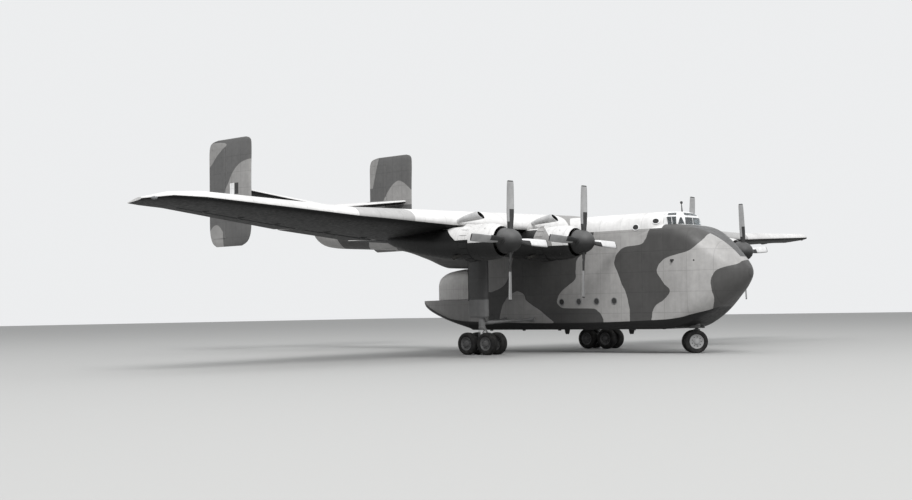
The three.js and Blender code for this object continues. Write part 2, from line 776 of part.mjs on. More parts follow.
// Tailplane, fins, elevators and rudders
// Fin outline stations. Columns: z, leading edge x, trailing edge x, thickness
const finStations = [
  [finLowZ, -21.7, -23.9, 0.1],
  [finLowZ + 0.3, -21.15, -24.3, 0.22],
  [7.0, -20.9, tailEndX, 0.3],
  [9.6, -20.88, tailEndX, 0.3],
  [11.3, finLeadX + 0.02, tailEndX, 0.24],
  [11.62, -20.98, -24.3, 0.18],
  [overallHeight, -21.4, -23.8, 0.08],
];
const rudderLeadX = -23.1;
const elevatorInnerY = 1.05;
const elevatorOuterY = 5.68;
// Plan of the corner that the rudder sweeps, cut off the tailplane
const rudderSweep = [
  [-22.95, 6.4],
  [-22.95, 6.12],
  [-24.2, 5.55],
  [-24.2, 6.4],
];
function finRing([z, lead, trail, thickness], side, grow) {
  const put = (x, offset) => [x, side * finY + offset, z];
  return foilRing(symmetric, lead, trail, 0, 0, thickness, put, grow);
}
const rudderLowZ = 6.3;
const rudderHighZ = 11.3;
const rudderHalf = 0.1;
function makeTail() {
  let tailplane = join(...[1, -1].map((side) => loft([0, finY].map((y) => tailRing(y, side)))));
  for (const [side, sign] of sides) {
    const { surface, space, pins } = hinged(tailStations, symmetric, elevatorInnerY, elevatorOuterY, sign);
    tailplane = tailplane.subtract(space).add(pins);
    tailplane = tailplane.subtract(planOutline(rudderSweep.map(([x, y]) => [x, sign * y]), 7, 10));
    tailplane = tailplane.subtract(loft(finStations.map((row) => finRing(row, sign, seatGap))));
    addPiece(`elevator_${side}`, surface, paint.dark);
    const fin = loft(finStations.map((row) => finRing(row, sign)));
    const [y, cutFrontX] = [sign * finY, rudderLeadX + rudderHalf + runGap];
    const cut = block(-26, cutFrontX, y - 1, y + 1, rudderLowZ, rudderHighZ);
    const rudderPins = [
      [rudderLowZ - 0.1, rudderLowZ + runGap - seatGap],
      [rudderHighZ - runGap + seatGap, rudderHighZ + 0.1],
    ].map(([z0, z1]) => bar([rudderLeadX, y, z0], [rudderLeadX, y, z1], hingePinRadius * 2));
    addPiece(`fin_${side}`, join(fin.subtract(cut), ...rudderPins), paint.dark);
    const rudder = loft([rudderLowZ + runGap, rudderHighZ - runGap].map((z) => [
      ...[90, 50, 15, -15, -50, -90].map((turn) => [
        rudderLeadX + rudderHalf * Math.cos(radians(turn)),
        sign * finY + rudderHalf * Math.sin(radians(turn)),
        z,
      ]),
      [tailEndX, sign * finY - trailingEdge / 2, z],
      [tailEndX, sign * finY + trailingEdge / 2, z],
    ]));
    addPiece(`rudder_${side}`, rudder, paint.dark);
  }
  addPiece("tailplane", tailplane.intersect(block(-26, -20, -finY, finY, 7, 10)), paint.dark);
}

// A tyre with its wheel, turned about a line along y, from its middle outwards
function wheel(x, y, z, radius, width) {
  const half = width / 2;
  const rim = radius * 0.56;
  const profile = [
    [-half * 0.7, 0],
    [-half * 0.7, rim],
    [-half, rim + 0.05],
    [-half, radius - 0.12],
    [-half * 0.6, radius],
    [half * 0.6, radius],
    [half, radius - 0.12],
    [half, rim + 0.05],
    [half * 0.7, rim],
    [half * 0.7, 0],
  ];
  const points = profile.map(([along, out]) => new THREE.Vector2(out * mm, along * mm));
  const geometry = new THREE.LatheGeometry(points, wheelSides);
  geometry.rotateY(Math.PI / 2);
  geometry.translate(x * mm, y * mm, z * mm);
  return solidOf(geometry);
}
function wheelPair(x, y, z, radius, width, overall) {
  const offset = (overall - width) / 2;
  return join(
    wheel(x, y - offset, z, radius, width),
    wheel(x, y + offset, z, radius, width),
    bar([x, y - offset, z], [x, y + offset, z], axleRadius),
  );
}

function makeMainGear() {
  const z = mainWheelRadius;
  const beamHalf = 0.11;
  for (const [side, sign] of sides) {
    const y = sign * mainLegY;
    const axles = [mainLegX + axleSpacing / 2, mainLegX - axleSpacing / 2];
    const beam = block(axles[1] - 0.13, axles[0] + 0.13, y - beamHalf, y + beamHalf, z - 0.13, z + 0.13);
    const leg = join(
      legFairing(sign, 1.75, legTopZ, 0),
      bar([mainLegX, y, z + 0.05], [mainLegX, y, 1.9], 0.15),
      bar([mainLegX, y, 1.5], [-5.2, sign * (bodyHalf + seatGap), 1.62], 0.07),
      bar([mainLegX, y, 1.5], [-7.0, sign * (bodyHalf + seatGap), 1.62], 0.07),
      beam,
    );
    const bores = axles.map((x) => bar([x, y - 1, z], [x, y + 1, z], axleRadius + bearingGap));
    addPiece(`main_leg_${side}`, leg.subtract(join(...bores)).subtract(legTrim(sign)), paint.light);
    const wheels = axles.map((x) => wheelPair(x, y, z, mainWheelRadius, mainWheelWidth, pairWidth));
    addPiece(`front_wheels_${side}`, wheels[0], paint.tyre);
    addPiece(`rear_wheels_${side}`, wheels[1], paint.tyre);
  }
}
// What the struts would reach inside the fuselage
function legTrim(sign) {
  const edge = sign * (bodyHalf + seatGap);
  return block(-9, -3, Math.min(edge, edge - sign), Math.max(edge, edge - sign), 1, 2.2);
}

function makeNoseGear() {
  const z = noseWheelRadius;
  const skin = body(noseRows.map(([x, half, low, ...rest]) => [x, half, low - seatGap, ...rest]));
  const socket = bar([noseLegX, 0, 1.0], [noseLegX, 0, 1.2], 0.1);
  const housing = bar([noseLegX, 0, 1.12], [noseLegX, 0, 1.4], 0.17).subtract(socket).subtract(skin);
  addPiece("nose_leg", housing, paint.metal);
  const yoke = join(
    bar([noseLegX, 0, 0.9], [noseLegX, 0, 1.2 - seatGap], 0.09 - bearingGap),
    block(noseLegX - noseTrail - 0.1, noseLegX + 0.12, -0.09, 0.09, z - 0.12, 1.08),
  );
  const bore = bar([noseLegX - noseTrail, -1, z], [noseLegX - noseTrail, 1, z], axleRadius + bearingGap);
  const wheels = wheelPair(noseLegX - noseTrail, 0, z, noseWheelRadius, noseWheelWidth, nosePairWidth);
  const park = (solid) =>
    solid
      .translate([-noseLegX * mm, 0, 0])
      .rotate([0, 0, noseParkedTurn])
      .translate([noseLegX * mm, 0, 0]);
  addPiece("nose_yoke", park(yoke.subtract(bore)), paint.metal);
  addPiece("nose_wheels", park(wheels), paint.tyre);
}

makeFuselage();
makeCanopy();
makeFlightDeck();
makeRearDoors();
makeWing();
makeEngines();
makeTail();
makeMainGear();
makeNoseGear();

aircraft.position.x = -middleX * mm;

export default aircraft;
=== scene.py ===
import math

import bmesh
import bpy
from mathutils import Matrix, Vector


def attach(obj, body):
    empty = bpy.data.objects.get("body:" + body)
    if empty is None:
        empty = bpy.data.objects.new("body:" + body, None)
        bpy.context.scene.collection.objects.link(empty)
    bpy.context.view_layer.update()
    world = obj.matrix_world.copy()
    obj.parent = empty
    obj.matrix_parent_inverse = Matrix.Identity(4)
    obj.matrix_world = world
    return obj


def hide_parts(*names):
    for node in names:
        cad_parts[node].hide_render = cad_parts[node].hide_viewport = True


# Transport plane, half size. Lengths in the dictionaries are metres of the full-size plane:
# x forward from the propellers, y to port, z up from the ground. toModel() turns them into the CAD frame.
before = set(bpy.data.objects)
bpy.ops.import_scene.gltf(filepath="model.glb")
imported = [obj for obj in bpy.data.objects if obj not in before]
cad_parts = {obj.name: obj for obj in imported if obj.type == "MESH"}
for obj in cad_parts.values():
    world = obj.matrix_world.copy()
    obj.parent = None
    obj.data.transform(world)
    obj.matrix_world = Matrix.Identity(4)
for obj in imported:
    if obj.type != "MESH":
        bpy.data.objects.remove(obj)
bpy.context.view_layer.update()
print("frame loaded,", len(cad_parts), "nodes")

modelScale = 0.5
originX = -9.35
sides = {"left": 1, "right": -1}


def toModel(x, y, z):
    return Vector(((x - originX) * modelScale, y * modelScale, z * modelScale))


view = {
    "place": (22.0625, -26.0095, 1.013),
    "yaw": 41.759,
    "pitch": 2.709,
    "roll": -0.902,
    "lens": 51.9,
    "sensor": 36.0,
    "farthest": 500,
}


def makeCamera():
    yaw, pitch, roll = (math.radians(view[k]) for k in ("yaw", "pitch", "roll"))
    ahead = Vector((-math.sin(yaw) * math.cos(pitch), math.cos(yaw) * math.cos(pitch), math.sin(pitch)))
    right = Vector((math.cos(yaw), math.sin(yaw), 0))
    up = right.cross(ahead)
    turnedRight = math.cos(roll) * right + math.sin(roll) * up
    turnedUp = -math.sin(roll) * right + math.cos(roll) * up
    data = bpy.data.cameras.new("photoCamera")
    data.lens, data.sensor_width = view["lens"], view["sensor"]
    data.clip_end = view["farthest"]
    camera = bpy.data.objects.new("photoCamera", data)
    matrix = Matrix((turnedRight, turnedUp, -ahead)).transposed().to_4x4()
    matrix.translation = Vector(view["place"])
    camera.matrix_world = matrix
    bpy.context.collection.objects.link(camera)
    bpy.context.scene.camera = camera


makeCamera()


def addNode(tree, kind, values=None, **settings):
    made = tree.nodes.new("ShaderNode" + kind)
    for key, value in settings.items():
        setattr(made, key, value)
    for key, value in (values or {}).items():
        if isinstance(value, bpy.types.NodeSocket):
            tree.links.new(value, made.inputs[key])
        else:
            made.inputs[key].default_value = value
    return made


studio = {
    "skyStrength": 0.86,
    "skyColour": (0.98, 0.99, 1.0, 1),
    "floorColour": (0.34, 0.34, 0.335, 1),
    "floorHalf": 160,
    "lamps": {
        "key": {"place": (38, -30, 46), "size": 26, "power": 36000},
        "overhead": {"place": (2, -6, 40), "size": 40, "power": 3500},
    },
}


def makeStudio():
    scene = bpy.context.scene
    scene.view_settings.view_transform = "Standard"
    world = scene.world or bpy.data.worlds.new("studio")
    scene.world = world
    world.use_nodes = True
    sky = world.node_tree.nodes["Background"]
    sky.inputs[0].default_value = studio["skyColour"]
    sky.inputs[1].default_value = studio["skyStrength"]
    for name, lamp in studio["lamps"].items():
        data = bpy.data.lights.new(name, "AREA")
        data.size, data.energy = lamp["size"], lamp["power"]
        light = bpy.data.objects.new(name, data)
        light.location = lamp["place"]
        light.rotation_mode = "QUATERNION"
        light.rotation_quaternion = (-Vector(lamp["place"])).to_track_quat("-Z", "Y")
        bpy.context.collection.objects.link(light)
    shape = bmesh.new()
    bmesh.ops.create_grid(shape, x_segments=2, y_segments=2, size=studio["floorHalf"])
    mesh = bpy.data.meshes.new("floor")
    shape.to_mesh(mesh)
    shape.free()
    floor = bpy.data.objects.new("floor", mesh)
    bpy.context.collection.objects.link(floor)
    finish = bpy.data.materials.new("floorPaint")
    finish.use_nodes = True
    shader = finish.node_tree.nodes["Principled BSDF"]
    shader.inputs["Base Color"].default_value = studio["floorColour"]
    shader.inputs["Roughness"].default_value = 0.9
    mesh.materials.append(finish)


makeStudio()
print("camera, light and floor")

wear = {
    "blotch": 0.13,
    "streak": 0.12,
    "seamDark": 0.2,
    "seamWidth": 0.022,
    "bumpDistance": 0.006,
    "steps": (0.3, 0.7),
}


def grey(level, warm=0.0):
    return (level * (1 + warm), level, level * (1 - warm), 1)


class Paint:
    # a node material; x, y and z are metres of the full-size plane
    def __init__(self, name, roughness=0.5, metallic=0.0):
        self.finish = bpy.data.materials.new(name)
        self.finish.use_nodes = True
        self.tree = self.finish.node_tree
        self.shader = self.tree.nodes["Principled BSDF"]
        self.shader.inputs["Roughness"].default_value = roughness
        self.shader.inputs["Metallic"].default_value = metallic
        self.shader.inputs["Specular IOR Level"].default_value = 0.25
        where = addNode(self.tree, "TexCoord")
        self.point = where.outputs["Object"]
        parts = self.node("SeparateXYZ", {0: self.point})
        self.x = self.math("MULTIPLY_ADD", parts.outputs[0], 1 / modelScale, originX)
        self.y = self.math("DIVIDE", parts.outputs[1], modelScale)
        self.z = self.math("DIVIDE", parts.outputs[2], modelScale)
        self.upward = self.node("SeparateXYZ", {0: where.outputs["Normal"]}).outputs[2]

    def node(self, kind, values=None, **settings):
        return addNode(self.tree, kind, values, **settings)

    def math(self, operation, first, second=0.0, third=0.0):
        return self.node("Math", {0: first, 1: second, 2: third}, operation=operation).outputs[0]

    def over(self, value, limit):
        return self.math("GREATER_THAN", value, limit)

    def under(self, value, limit):
        return self.math("LESS_THAN", value, limit)

    def every(self, first, *masks):
        for mask in masks:
            first = self.math("MULTIPLY", first, mask)
        return first

    def either(self, first, *masks):
        for mask in masks:
            first = self.math("MAXIMUM", first, mask)
        return first

    def without(self, mask):
        return self.math("SUBTRACT", 1.0, mask)

    def within(self, value, low, high):
        return self.every(self.over(value, low), self.under(value, high))

    def mix(self, factor, first, second, blend="MIX"):
        values = {0: factor, 6: first, 7: second}
        return self.node("Mix", values, data_type="RGBA", blend_type=blend).outputs[2]

    def ramp(self, value, low, high, start, end):
        return self.node("MapRange", {0: value, 1: low, 2: high, 3: start, 4: end}, clamp=True).outputs[0]

    def noise(self, scale, detail=3.0, rough=0.5, squeeze=None):
        point = self.point
        if squeeze:
            point = self.node("Mapping", {0: point, "Scale": squeeze}).outputs[0]
        values = {"Vector": point, "Scale": scale, "Detail": detail, "Roughness": rough}
        return self.node("TexNoise", values).outputs[0]

    def curve(self, value, points, reach):
        # value on reach[0:2] is read along the points, and the result lies on reach[2:4]
        low, high, least, most = reach
        made = self.node("FloatCurve", {0: 1.0, 1: self.ramp(value, low, high, 0.0, 1.0)})
        line = made.mapping.curves[0]
        places = sorted(((a - low) / (high - low), (b - least) / (most - least)) for a, b in points)
        line.points[0].location = places[0]
        line.points[1].location = places[-1]
        for place in places[1:-1]:
            line.points.new(*place)
        made.mapping.update()
        return self.math("MULTIPLY_ADD", made.outputs[0], most - least, least)

    def seams(self, spacings):
        # 1 on a thin line every so many metres along x, y and z; 0 leaves a row out
        lines = None
        for axis, spacing in zip((self.x, self.y, self.z), spacings):
            if spacing:
                folded = self.math("PINGPONG", axis, spacing / 2)
                line = self.ramp(folded, 0.0, wear["seamWidth"], 1.0, 0.0)
                lines = line if lines is None else self.either(lines, line)
        return lines

    def weathered(self, colour, spacings=(1.16, 1.16, 0.93), streaks=True, level=0.46):
        low, high = wear["steps"]
        blotch = self.noise(0.9, 5.0, 0.6)
        darker = self.ramp(blotch, low, high, 1 - wear["blotch"], 1 + wear["blotch"])
        if streaks:
            run = self.noise(3.0, 4.0, 0.65, (3.2, 3.2, 0.22))
            darker = self.every(darker, self.ramp(run, 0.35, 0.75, 1.0, 1 - wear["streak"]))
        fine = self.noise(9.0, 4.0)
        darker = self.every(darker, self.ramp(fine, low, high, 0.94, 1.06))
        height = self.every(self.noise(2.1, 2.0), 0.8)
        lines = self.seams(spacings)
        if lines is not None:
            darker = self.every(darker, self.without(self.every(lines, wear["seamDark"])))
            height = self.math("SUBTRACT", height, self.every(lines, 0.5))
        shade = self.node("CombineXYZ", {0: darker, 1: darker, 2: darker}).outputs[0]
        self.tree.links.new(self.mix(1.0, colour, shade, "MULTIPLY"), self.shader.inputs["Base Color"])
        rough = self.ramp(self.noise(14.0, 4.0), low, high, level - 0.07, level + 0.09)
        self.tree.links.new(rough, self.shader.inputs["Roughness"])
        self.bump(height, wear["bumpDistance"], 0.5)
        return self.finish

    def bump(self, height, distance, strength):
        made = self.node("Bump", {"Height": height, "Distance": distance, "Strength": strength})
        self.tree.links.new(made.outputs[0], self.shader.inputs["Normal"])


# The two upper tones are the light and dark camouflage made paler for faces that look up: painted sky sheen.
tones = {
    "light": grey(0.33, 0.02),
    "dark": grey(0.066, 0.02),
    "black": grey(0.012),
    "pale": grey(0.66, 0.01),
    "sheenLight": grey(0.6, 0.01),
    "sheenDark": grey(0.25, 0.02),
    "glare": grey(0.1),
}

# Camouflage on the body. Each edge is a list of (z, x) read on the starboard side; it slants over the roof.
bodyCamo = {
    "slant": 0.35,
    "side": 1.65,
    "wobble": (5.0, 0.1),
    "topLightRamp": (0.4, 0.95, 0.0, 0.12),
    "seams": (1.16, 0, 0.93),
    "reach": (1.5, 8.2, -24.0, 7.0),
    "edges": {
        "noseBandRear": [
            (1.5, 0.45), (2.79, 0.25), (3.2, 0.02), (3.63, -0.14), (3.89, -0.25), (4.15, -0.36),
            (4.42, -0.32), (4.6, -0.22), (4.73, -0.07), (4.86, 0.12), (4.93, 0.4), (4.97, 1.05), (5.19, 1.36),
            (5.44, 1.49), (5.7, 1.6),
        ],
        "noseBandFront": [
            (1.5, 1.62), (1.62, 1.64), (2.16, 1.83), (2.45, 2.3), (2.87, 2.62), (3.16, 2.34), (3.43, 2.12),
            (3.69, 1.98), (3.92, 2.01), (4.13, 2.17), (4.35, 2.54), (4.44, 2.92), (4.57, 3.52), (4.67, 3.76),
            (4.88, 4.03), (5.1, 4.27), (5.36, 4.5), (5.6, 4.9),
        ],
        "noseTip": [
            (1.9, 4.54), (2.46, 4.73), (2.94, 4.66), (3.29, 4.66), (3.5, 4.75), (3.69, 4.9), (3.82, 5.21),
            (3.98, 5.87), (4.11, 6.05), (4.3, 7.0),
        ],
        "sideFront": [
            (1.5, -1.03), (1.71, -1.1), (1.97, -1.34), (2.1, -1.6), (2.13, -3.3), (2.3, -3.66), (2.67, -3.68),
            (2.98, -3.41), (3.23, -3.02), (3.48, -2.66), (3.94, -2.59), (4.45, -2.48), (4.69, -2.15),
            (4.98, -1.77), (5.7, -1.5),
        ],
        "patchRear": [
            (3.0, -7.9), (3.06, -8.3), (3.14, -8.38), (3.64, -8.35), (4.12, -8.1), (4.67, -8.3), (5.7, -8.6),
        ],
        "patchFront": [
            (3.0, -7.9), (3.07, -7.6), (3.22, -7.19), (3.54, -6.84), (4.07, -6.61), (4.71, -6.39),
            (5.7, -6.1),
        ],
        "lowRear": [(1.5, -7.35), (2.15, -7.22), (2.52, -7.0), (2.84, -6.64), (3.02, -6.2)],
        "lowFront": [
            (1.5, -4.0), (1.85, -4.49), (2.11, -4.89), (2.33, -5.28), (2.55, -5.62), (2.87, -5.81),
            (3.02, -6.2),
        ],
        "boomRear": [(4.0, -15.6), (5.2, -15.1), (6.0, -14.8), (6.8, -15.3), (8.2, -16.6)],
        "tailRear": [(5.5, -19.2), (6.6, -19.8), (7.4, -20.4), (8.2, -20.8)],
        "tailFront": [(5.5, -17.3), (6.4, -16.9), (7.2, -17.6), (8.2, -18.4)],
    },
    "cornerRear": -8.08,
    "cornerTop": 2.58,
    "holdEnd": -9.44,
    "bellyReach": (-13.8, 5.2, 1.0, 3.0),
    "bellyLine": [
        (-13.8, 2.75), (-12.1, 2.13), (-11.3, 1.86), (-10.44, 1.64), (-9.4, 1.55), (2.2, 1.55), (2.94, 1.62),
        (3.5, 1.76), (4.25, 1.99), (5.2, 2.6),
    ],
    "roofLine": 5.69,
    "roofReach": (-9.4, 2.2),
    "glareStrip": [(2.9, 1.2), (3.3, 1.1), (3.7, 0.88), (4.14, 0.6), (4.46, 0.42), (4.89, 0.26), (5.5, 0.2)],
    "glareReach": (2.9, 5.5, 0.0, 1.2),
    "glareFloor": 4.3,
    "glareToPort": 0.5,
    "wingShadeFront": (-3.8, -0.4),
    "wingShadeTop": 5.4,
    "paintedShade": 0.42,
}


def bodyPaint(name):
    p = Paint(name)
    fineness, swing = bodyCamo["wobble"]
    wobble = p.math("MULTIPLY_ADD", p.noise(fineness), swing, -swing / 2)
    fromSide = p.math("ADD", p.y, bodyCamo["side"])
    slanted = p.math("MULTIPLY_ADD", fromSide, bodyCamo["slant"], p.math("ADD", p.x, wobble))

    def ahead(edge):
        return p.over(slanted, p.curve(p.z, bodyCamo["edges"][edge], bodyCamo["reach"]))

    def between(rear, front):
        return p.every(ahead(rear), p.without(ahead(front)))

    corner = p.every(p.under(slanted, bodyCamo["cornerRear"]), p.under(p.z, bodyCamo["cornerTop"]))
    patches = p.either(between("patchRear", "patchFront"), between("lowRear", "lowFront"), corner)
    onHold = p.over(p.x, bodyCamo["holdEnd"])
    side = p.every(p.without(ahead("sideFront")), onHold, p.without(patches))
    boom = p.every(p.either(ahead("boomRear"), between("tailRear", "tailFront")), p.without(onHold))
    dark = p.either(between("noseBandRear", "noseBandFront"), ahead("noseTip"), side, boom)
    colour = p.mix(dark, tones["light"], tones["dark"])
    # painted light: faces that look up are mixed towards paler tones, as lit by the sky
    paintedTopLight = p.ramp(p.upward, *bodyCamo["topLightRamp"])
    colour = p.mix(paintedTopLight, colour, p.mix(dark, tones["pale"], tones["sheenDark"]))
    roof = p.every(p.over(p.z, bodyCamo["roofLine"]), p.within(p.x, *bodyCamo["roofReach"]))
    colour = p.mix(roof, colour, tones["pale"])
    half = p.curve(p.x, bodyCamo["glareStrip"], bodyCamo["glareReach"])
    starboardEdge = p.over(p.math("ADD", p.y, half), 0.0)
    portEdge = p.under(p.y, p.math("ADD", half, bodyCamo["glareToPort"]))
    ahead = p.over(p.x, bodyCamo["glareReach"][0])
    strip = p.every(starboardEdge, portEdge, p.over(p.z, bodyCamo["glareFloor"]), ahead)
    colour = p.mix(strip, colour, tones["glare"])
    belly = p.under(p.z, p.curve(p.x, bodyCamo["bellyLine"], bodyCamo["bellyReach"]))
    colour = p.mix(belly, colour, tones["black"])
    # painted shadow of the wing: the sides under the wing are darkened towards black behind its leading edge
    paintedShade = p.every(p.ramp(p.x, *bodyCamo["wingShadeFront"], 1.0, 0.0), onHold, p.under(p.z, bodyCamo["wingShadeTop"]))
    colour = p.mix(p.every(paintedShade, bodyCamo["paintedShade"]), colour, tones["black"])
    return p.weathered(colour, bodyCamo["seams"])


# Upper sides of the wings and tailplane are camouflaged, lower sides black. The upper tones are paler as
# painted sky sheen, and the leading edges carry painted highlights.
wingCamo = {
    "scale": 0.34,
    "edge": 0.52,
    "leadFade": (-5.6, -4.0),
    "leadInner": 1.7,
    "leadPatch": (13.9, 1.6, -2.9, 2.1),
    "turnover": [(0, -0.75), (9.9, -0.7), (15.4, -0.4), (24.7, -0.12)],
    "turnoverReach": (0, 24.7, -1, 0),
    "tailTurnover": 0.3,
    "shine": (-0.8, 0.0, 0.06, 0.25),
    "tailLead": (-21.42, -20.9),
    "patchTone": grey(0.36, 0.01),
    "seams": (0.95, 1.3, 0),
}


def wingPaint(name):
    p = Paint(name)
    out = p.math("ABSOLUTE", p.y)
    # painted reflection of the sky: the front of the wing is kept to the light tone
    front = p.every(p.ramp(p.x, *wingCamo["leadFade"], 0.0, 0.5), p.over(out, wingCamo["leadInner"]))
    front = p.every(front, p.under(p.x, 0.0))
    dark = p.over(p.noise(wingCamo["scale"], 1.0, 0.4), p.math("ADD", front, wingCamo["edge"]))
    top = p.mix(dark, tones["sheenLight"], tones["sheenDark"])
    middle, halfOut, edge, halfBack = wingCamo["leadPatch"]
    across = p.math("DIVIDE", p.math("SUBTRACT", out, middle), halfOut)
    along = p.math("DIVIDE", p.math("SUBTRACT", p.x, edge), halfBack)
    patch = p.under(p.math("ADD", p.every(across, across), p.every(along, along)), 1.0)
    top = p.mix(patch, top, wingCamo["patchTone"])
    # black underside paint; the upper colour reaches round the leading edge, lowest on the inner wing, as a
    # painted sky-lit band
    lowest = p.curve(out, wingCamo["turnover"], wingCamo["turnoverReach"])
    onTail = p.within(p.x, *wingCamo["tailLead"])
    lowest = p.math("MULTIPLY_ADD", onTail, wingCamo["tailTurnover"], lowest)
    shown = p.over(p.upward, lowest)
    # painted highlight along the tailplane's leading edge
    top = p.mix(onTail, top, tones["pale"])
    shine = p.ramp(p.upward, *wingCamo["shine"])
    p.tree.links.new(shine, p.shader.inputs["Specular IOR Level"])
    colour = p.mix(shown, tones["black"], top)
    return p.weathered(colour, wingCamo["seams"], streaks=False)


cowlCamo = {
    "line": 4.93,
    "rearRise": (-1.7, 0.14),
    "patch": (-2.3, -1.2, 6.0),
    "patchCurve": 0.95,
    "innerShadowTop": 5.72,
    "innerHalf": 7.0,
    "seams": (0.62, 0, 0),
    "roughness": 0.42,
    "rear": (-2.4, 5.6, 3.3, 0.72),
}


def cowlPaint(name):
    # pale above the engine line (paler as painted sky sheen) and black below it; the black on the lower rear,
    # under the wing, is the wing's painted shadow
    p = Paint(name)
    inner = p.under(p.math("ABSOLUTE", p.y), cowlCamo["innerHalf"])
    riseAt, rearRise = cowlCamo["rearRise"]
    line = p.math("MULTIPLY_ADD", p.under(p.x, riseAt), rearRise, cowlCamo["line"])
    # painted shadow of the wing: the lower rear of the nacelle behind the leading edge is black
    rearX, rearTop, rise, slope = cowlCamo["rear"]
    slant = p.math("MULTIPLY_ADD", p.x, -slope, rise)
    rear = p.every(p.under(p.x, rearX), p.under(p.z, rearTop), p.under(p.z, slant))
    x0, x1, top = cowlCamo["patch"]
    above = p.math("SUBTRACT", p.z, cowlCamo["line"])
    edge = p.math("MULTIPLY_ADD", p.every(above, above), -cowlCamo["patchCurve"], x1)
    patch = p.every(inner, p.over(p.x, x0), p.under(p.x, edge), p.under(p.z, top))
    # painted shadow under the wing on the rear of the inner nacelles
    innerWingShadow = p.every(inner, p.under(p.x, x0), p.under(p.z, cowlCamo["innerShadowTop"]))
    rear = p.either(rear, innerWingShadow)
    colour = p.mix(patch, tones["sheenLight"], tones["sheenDark"])
    colour = p.mix(p.either(p.under(p.z, line), rear), colour, tones["black"])
    return p.weathered(colour, cowlCamo["seams"], level=cowlCamo["roughness"])


finCamo = {
    "reach": (5.8, 11.9, -25.0, -20.0),
    "arc": [
        (8.0, -23.2), (8.87, -23.05), (9.32, -22.73), (9.92, -22.28), (10.35, -21.7), (10.49, -21.26),
        (10.56, -20.8),
    ],
    "top": [(10.3, -24.6), (10.47, -24.3), (10.9, -23.8), (11.35, -23.1), (11.5, -22.9), (11.7, -24.6)],
    "arcHeight": (8.05, 10.57),
    "topFloor": 10.3,
    # round patch low on the starboard side: middle, top and front
    "mound": (23.9, 7.08, -23.25),
    # port side: middle, power, steepness, top, foot and rear of a hill, then a sloping strip and a root patch
    "hill": (21.85, 1.7, -0.66, 10.22, 8.7, -23.3),
    "strip": (0.31, -27.3, 9.9),
    "root": (7.4, -22.2),
    "tones": (grey(0.112, 0.01), grey(0.27, 0.02)),
    "seams": (0.8, 0, 0.9),
    "flash": [(grey(0.8), -22.55, -22.16), (grey(0.04), -22.12, -21.8)],
    "flashHeight": (8.69, 9.31),
    "outboard": 6.3,
}


def finPaint(name):
    p = Paint(name)
    reach = finCamo["reach"]
    arc = p.every(p.over(p.x, p.curve(p.z, finCamo["arc"], reach)), p.within(p.z, *finCamo["arcHeight"]))
    top = p.every(p.under(p.x, p.curve(p.z, finCamo["top"], reach)), p.over(p.z, finCamo["topFloor"]))
    middle, height, front = finCamo["mound"]
    fromMiddle = p.math("ADD", p.x, middle)
    mound = p.math("MULTIPLY_ADD", p.every(fromMiddle, fromMiddle), -1.0, height)
    low = p.every(p.under(p.z, mound), p.under(p.x, front))
    starboard = p.either(arc, top, low)
    middle, power, steep, height, foot, rear = finCamo["hill"]
    fromFront = p.math("POWER", p.math("ABSOLUTE", p.math("ADD", p.x, middle)), power)
    hillEdge = p.math("MULTIPLY_ADD", fromFront, steep, height)
    hill = p.every(p.under(p.z, hillEdge), p.over(p.z, foot), p.over(p.x, rear))
    slope, start, floor = finCamo["strip"]
    strip = p.every(p.under(p.x, p.math("MULTIPLY_ADD", p.z, slope, start)), p.over(p.z, floor))
    height, rear = finCamo["root"]
    root = p.every(p.under(p.z, height), p.over(p.x, rear))
    light = p.mix(p.under(p.y, 0.0), p.either(hill, strip, root), starboard)
    colour = p.mix(light, *finCamo["tones"])
    outside = p.over(p.math("ABSOLUTE", p.y), finCamo["outboard"])
    flash = p.every(outside, p.within(p.z, *finCamo["flashHeight"]))
    for tone, *reach in finCamo["flash"]:
        colour = p.mix(p.every(flash, p.within(p.x, *reach)), colour, tone)
    return p.weathered(colour, finCamo["seams"])


# The tone changes at a height: rear doors over the ramp, leg fairings over their lower part. The ramp's
# darker tone is painted shade, as the ramp faces down and back.
heightTones = {
    "door": (2.66, grey(0.17, 0.02), grey(0.36, 0.02), (0, 0, 0.8)),
    "leg": (2.6, grey(0.13), grey(0.05), (0, 0, 0.9)),
}


def doorPaint(name):
    p = Paint(name)
    height, low, high, seams = heightTones["door"]
    colour = p.mix(p.over(p.z, height), low, high)
    belly = p.under(p.z, p.curve(p.x, bodyCamo["bellyLine"], bodyCamo["bellyReach"]))
    return p.weathered(p.mix(belly, colour, tones["black"]), seams)


def legPaint(name):
    p = Paint(name)
    height, low, high, seams = heightTones["leg"]
    return p.weathered(p.mix(p.over(p.z, height), low, high), seams)


def plainPaint(name, tone, roughness=0.5, scale=6.0, spread=0.18, metallic=0.0, bump=0.002):
    p = Paint(name, roughness, metallic)
    first = tuple(c * (1 - spread) for c in tone[:3]) + (1,)
    second = tuple(min(1, c * (1 + spread)) for c in tone[:3]) + (1,)
    low, high = wear["steps"]
    patch = p.ramp(p.noise(scale, 5.0, 0.6), low, high, 0.0, 1.0)
    p.tree.links.new(p.mix(patch, first, second), p.shader.inputs["Base Color"])
    fine = p.noise(scale * 7, 3.0)
    rough = p.ramp(fine, low, high, max(0.05, roughness - 0.1), min(1, roughness + 0.1))
    p.tree.links.new(rough, p.shader.inputs["Roughness"])
    p.bump(fine, bump, 0.35)
    return p.finish


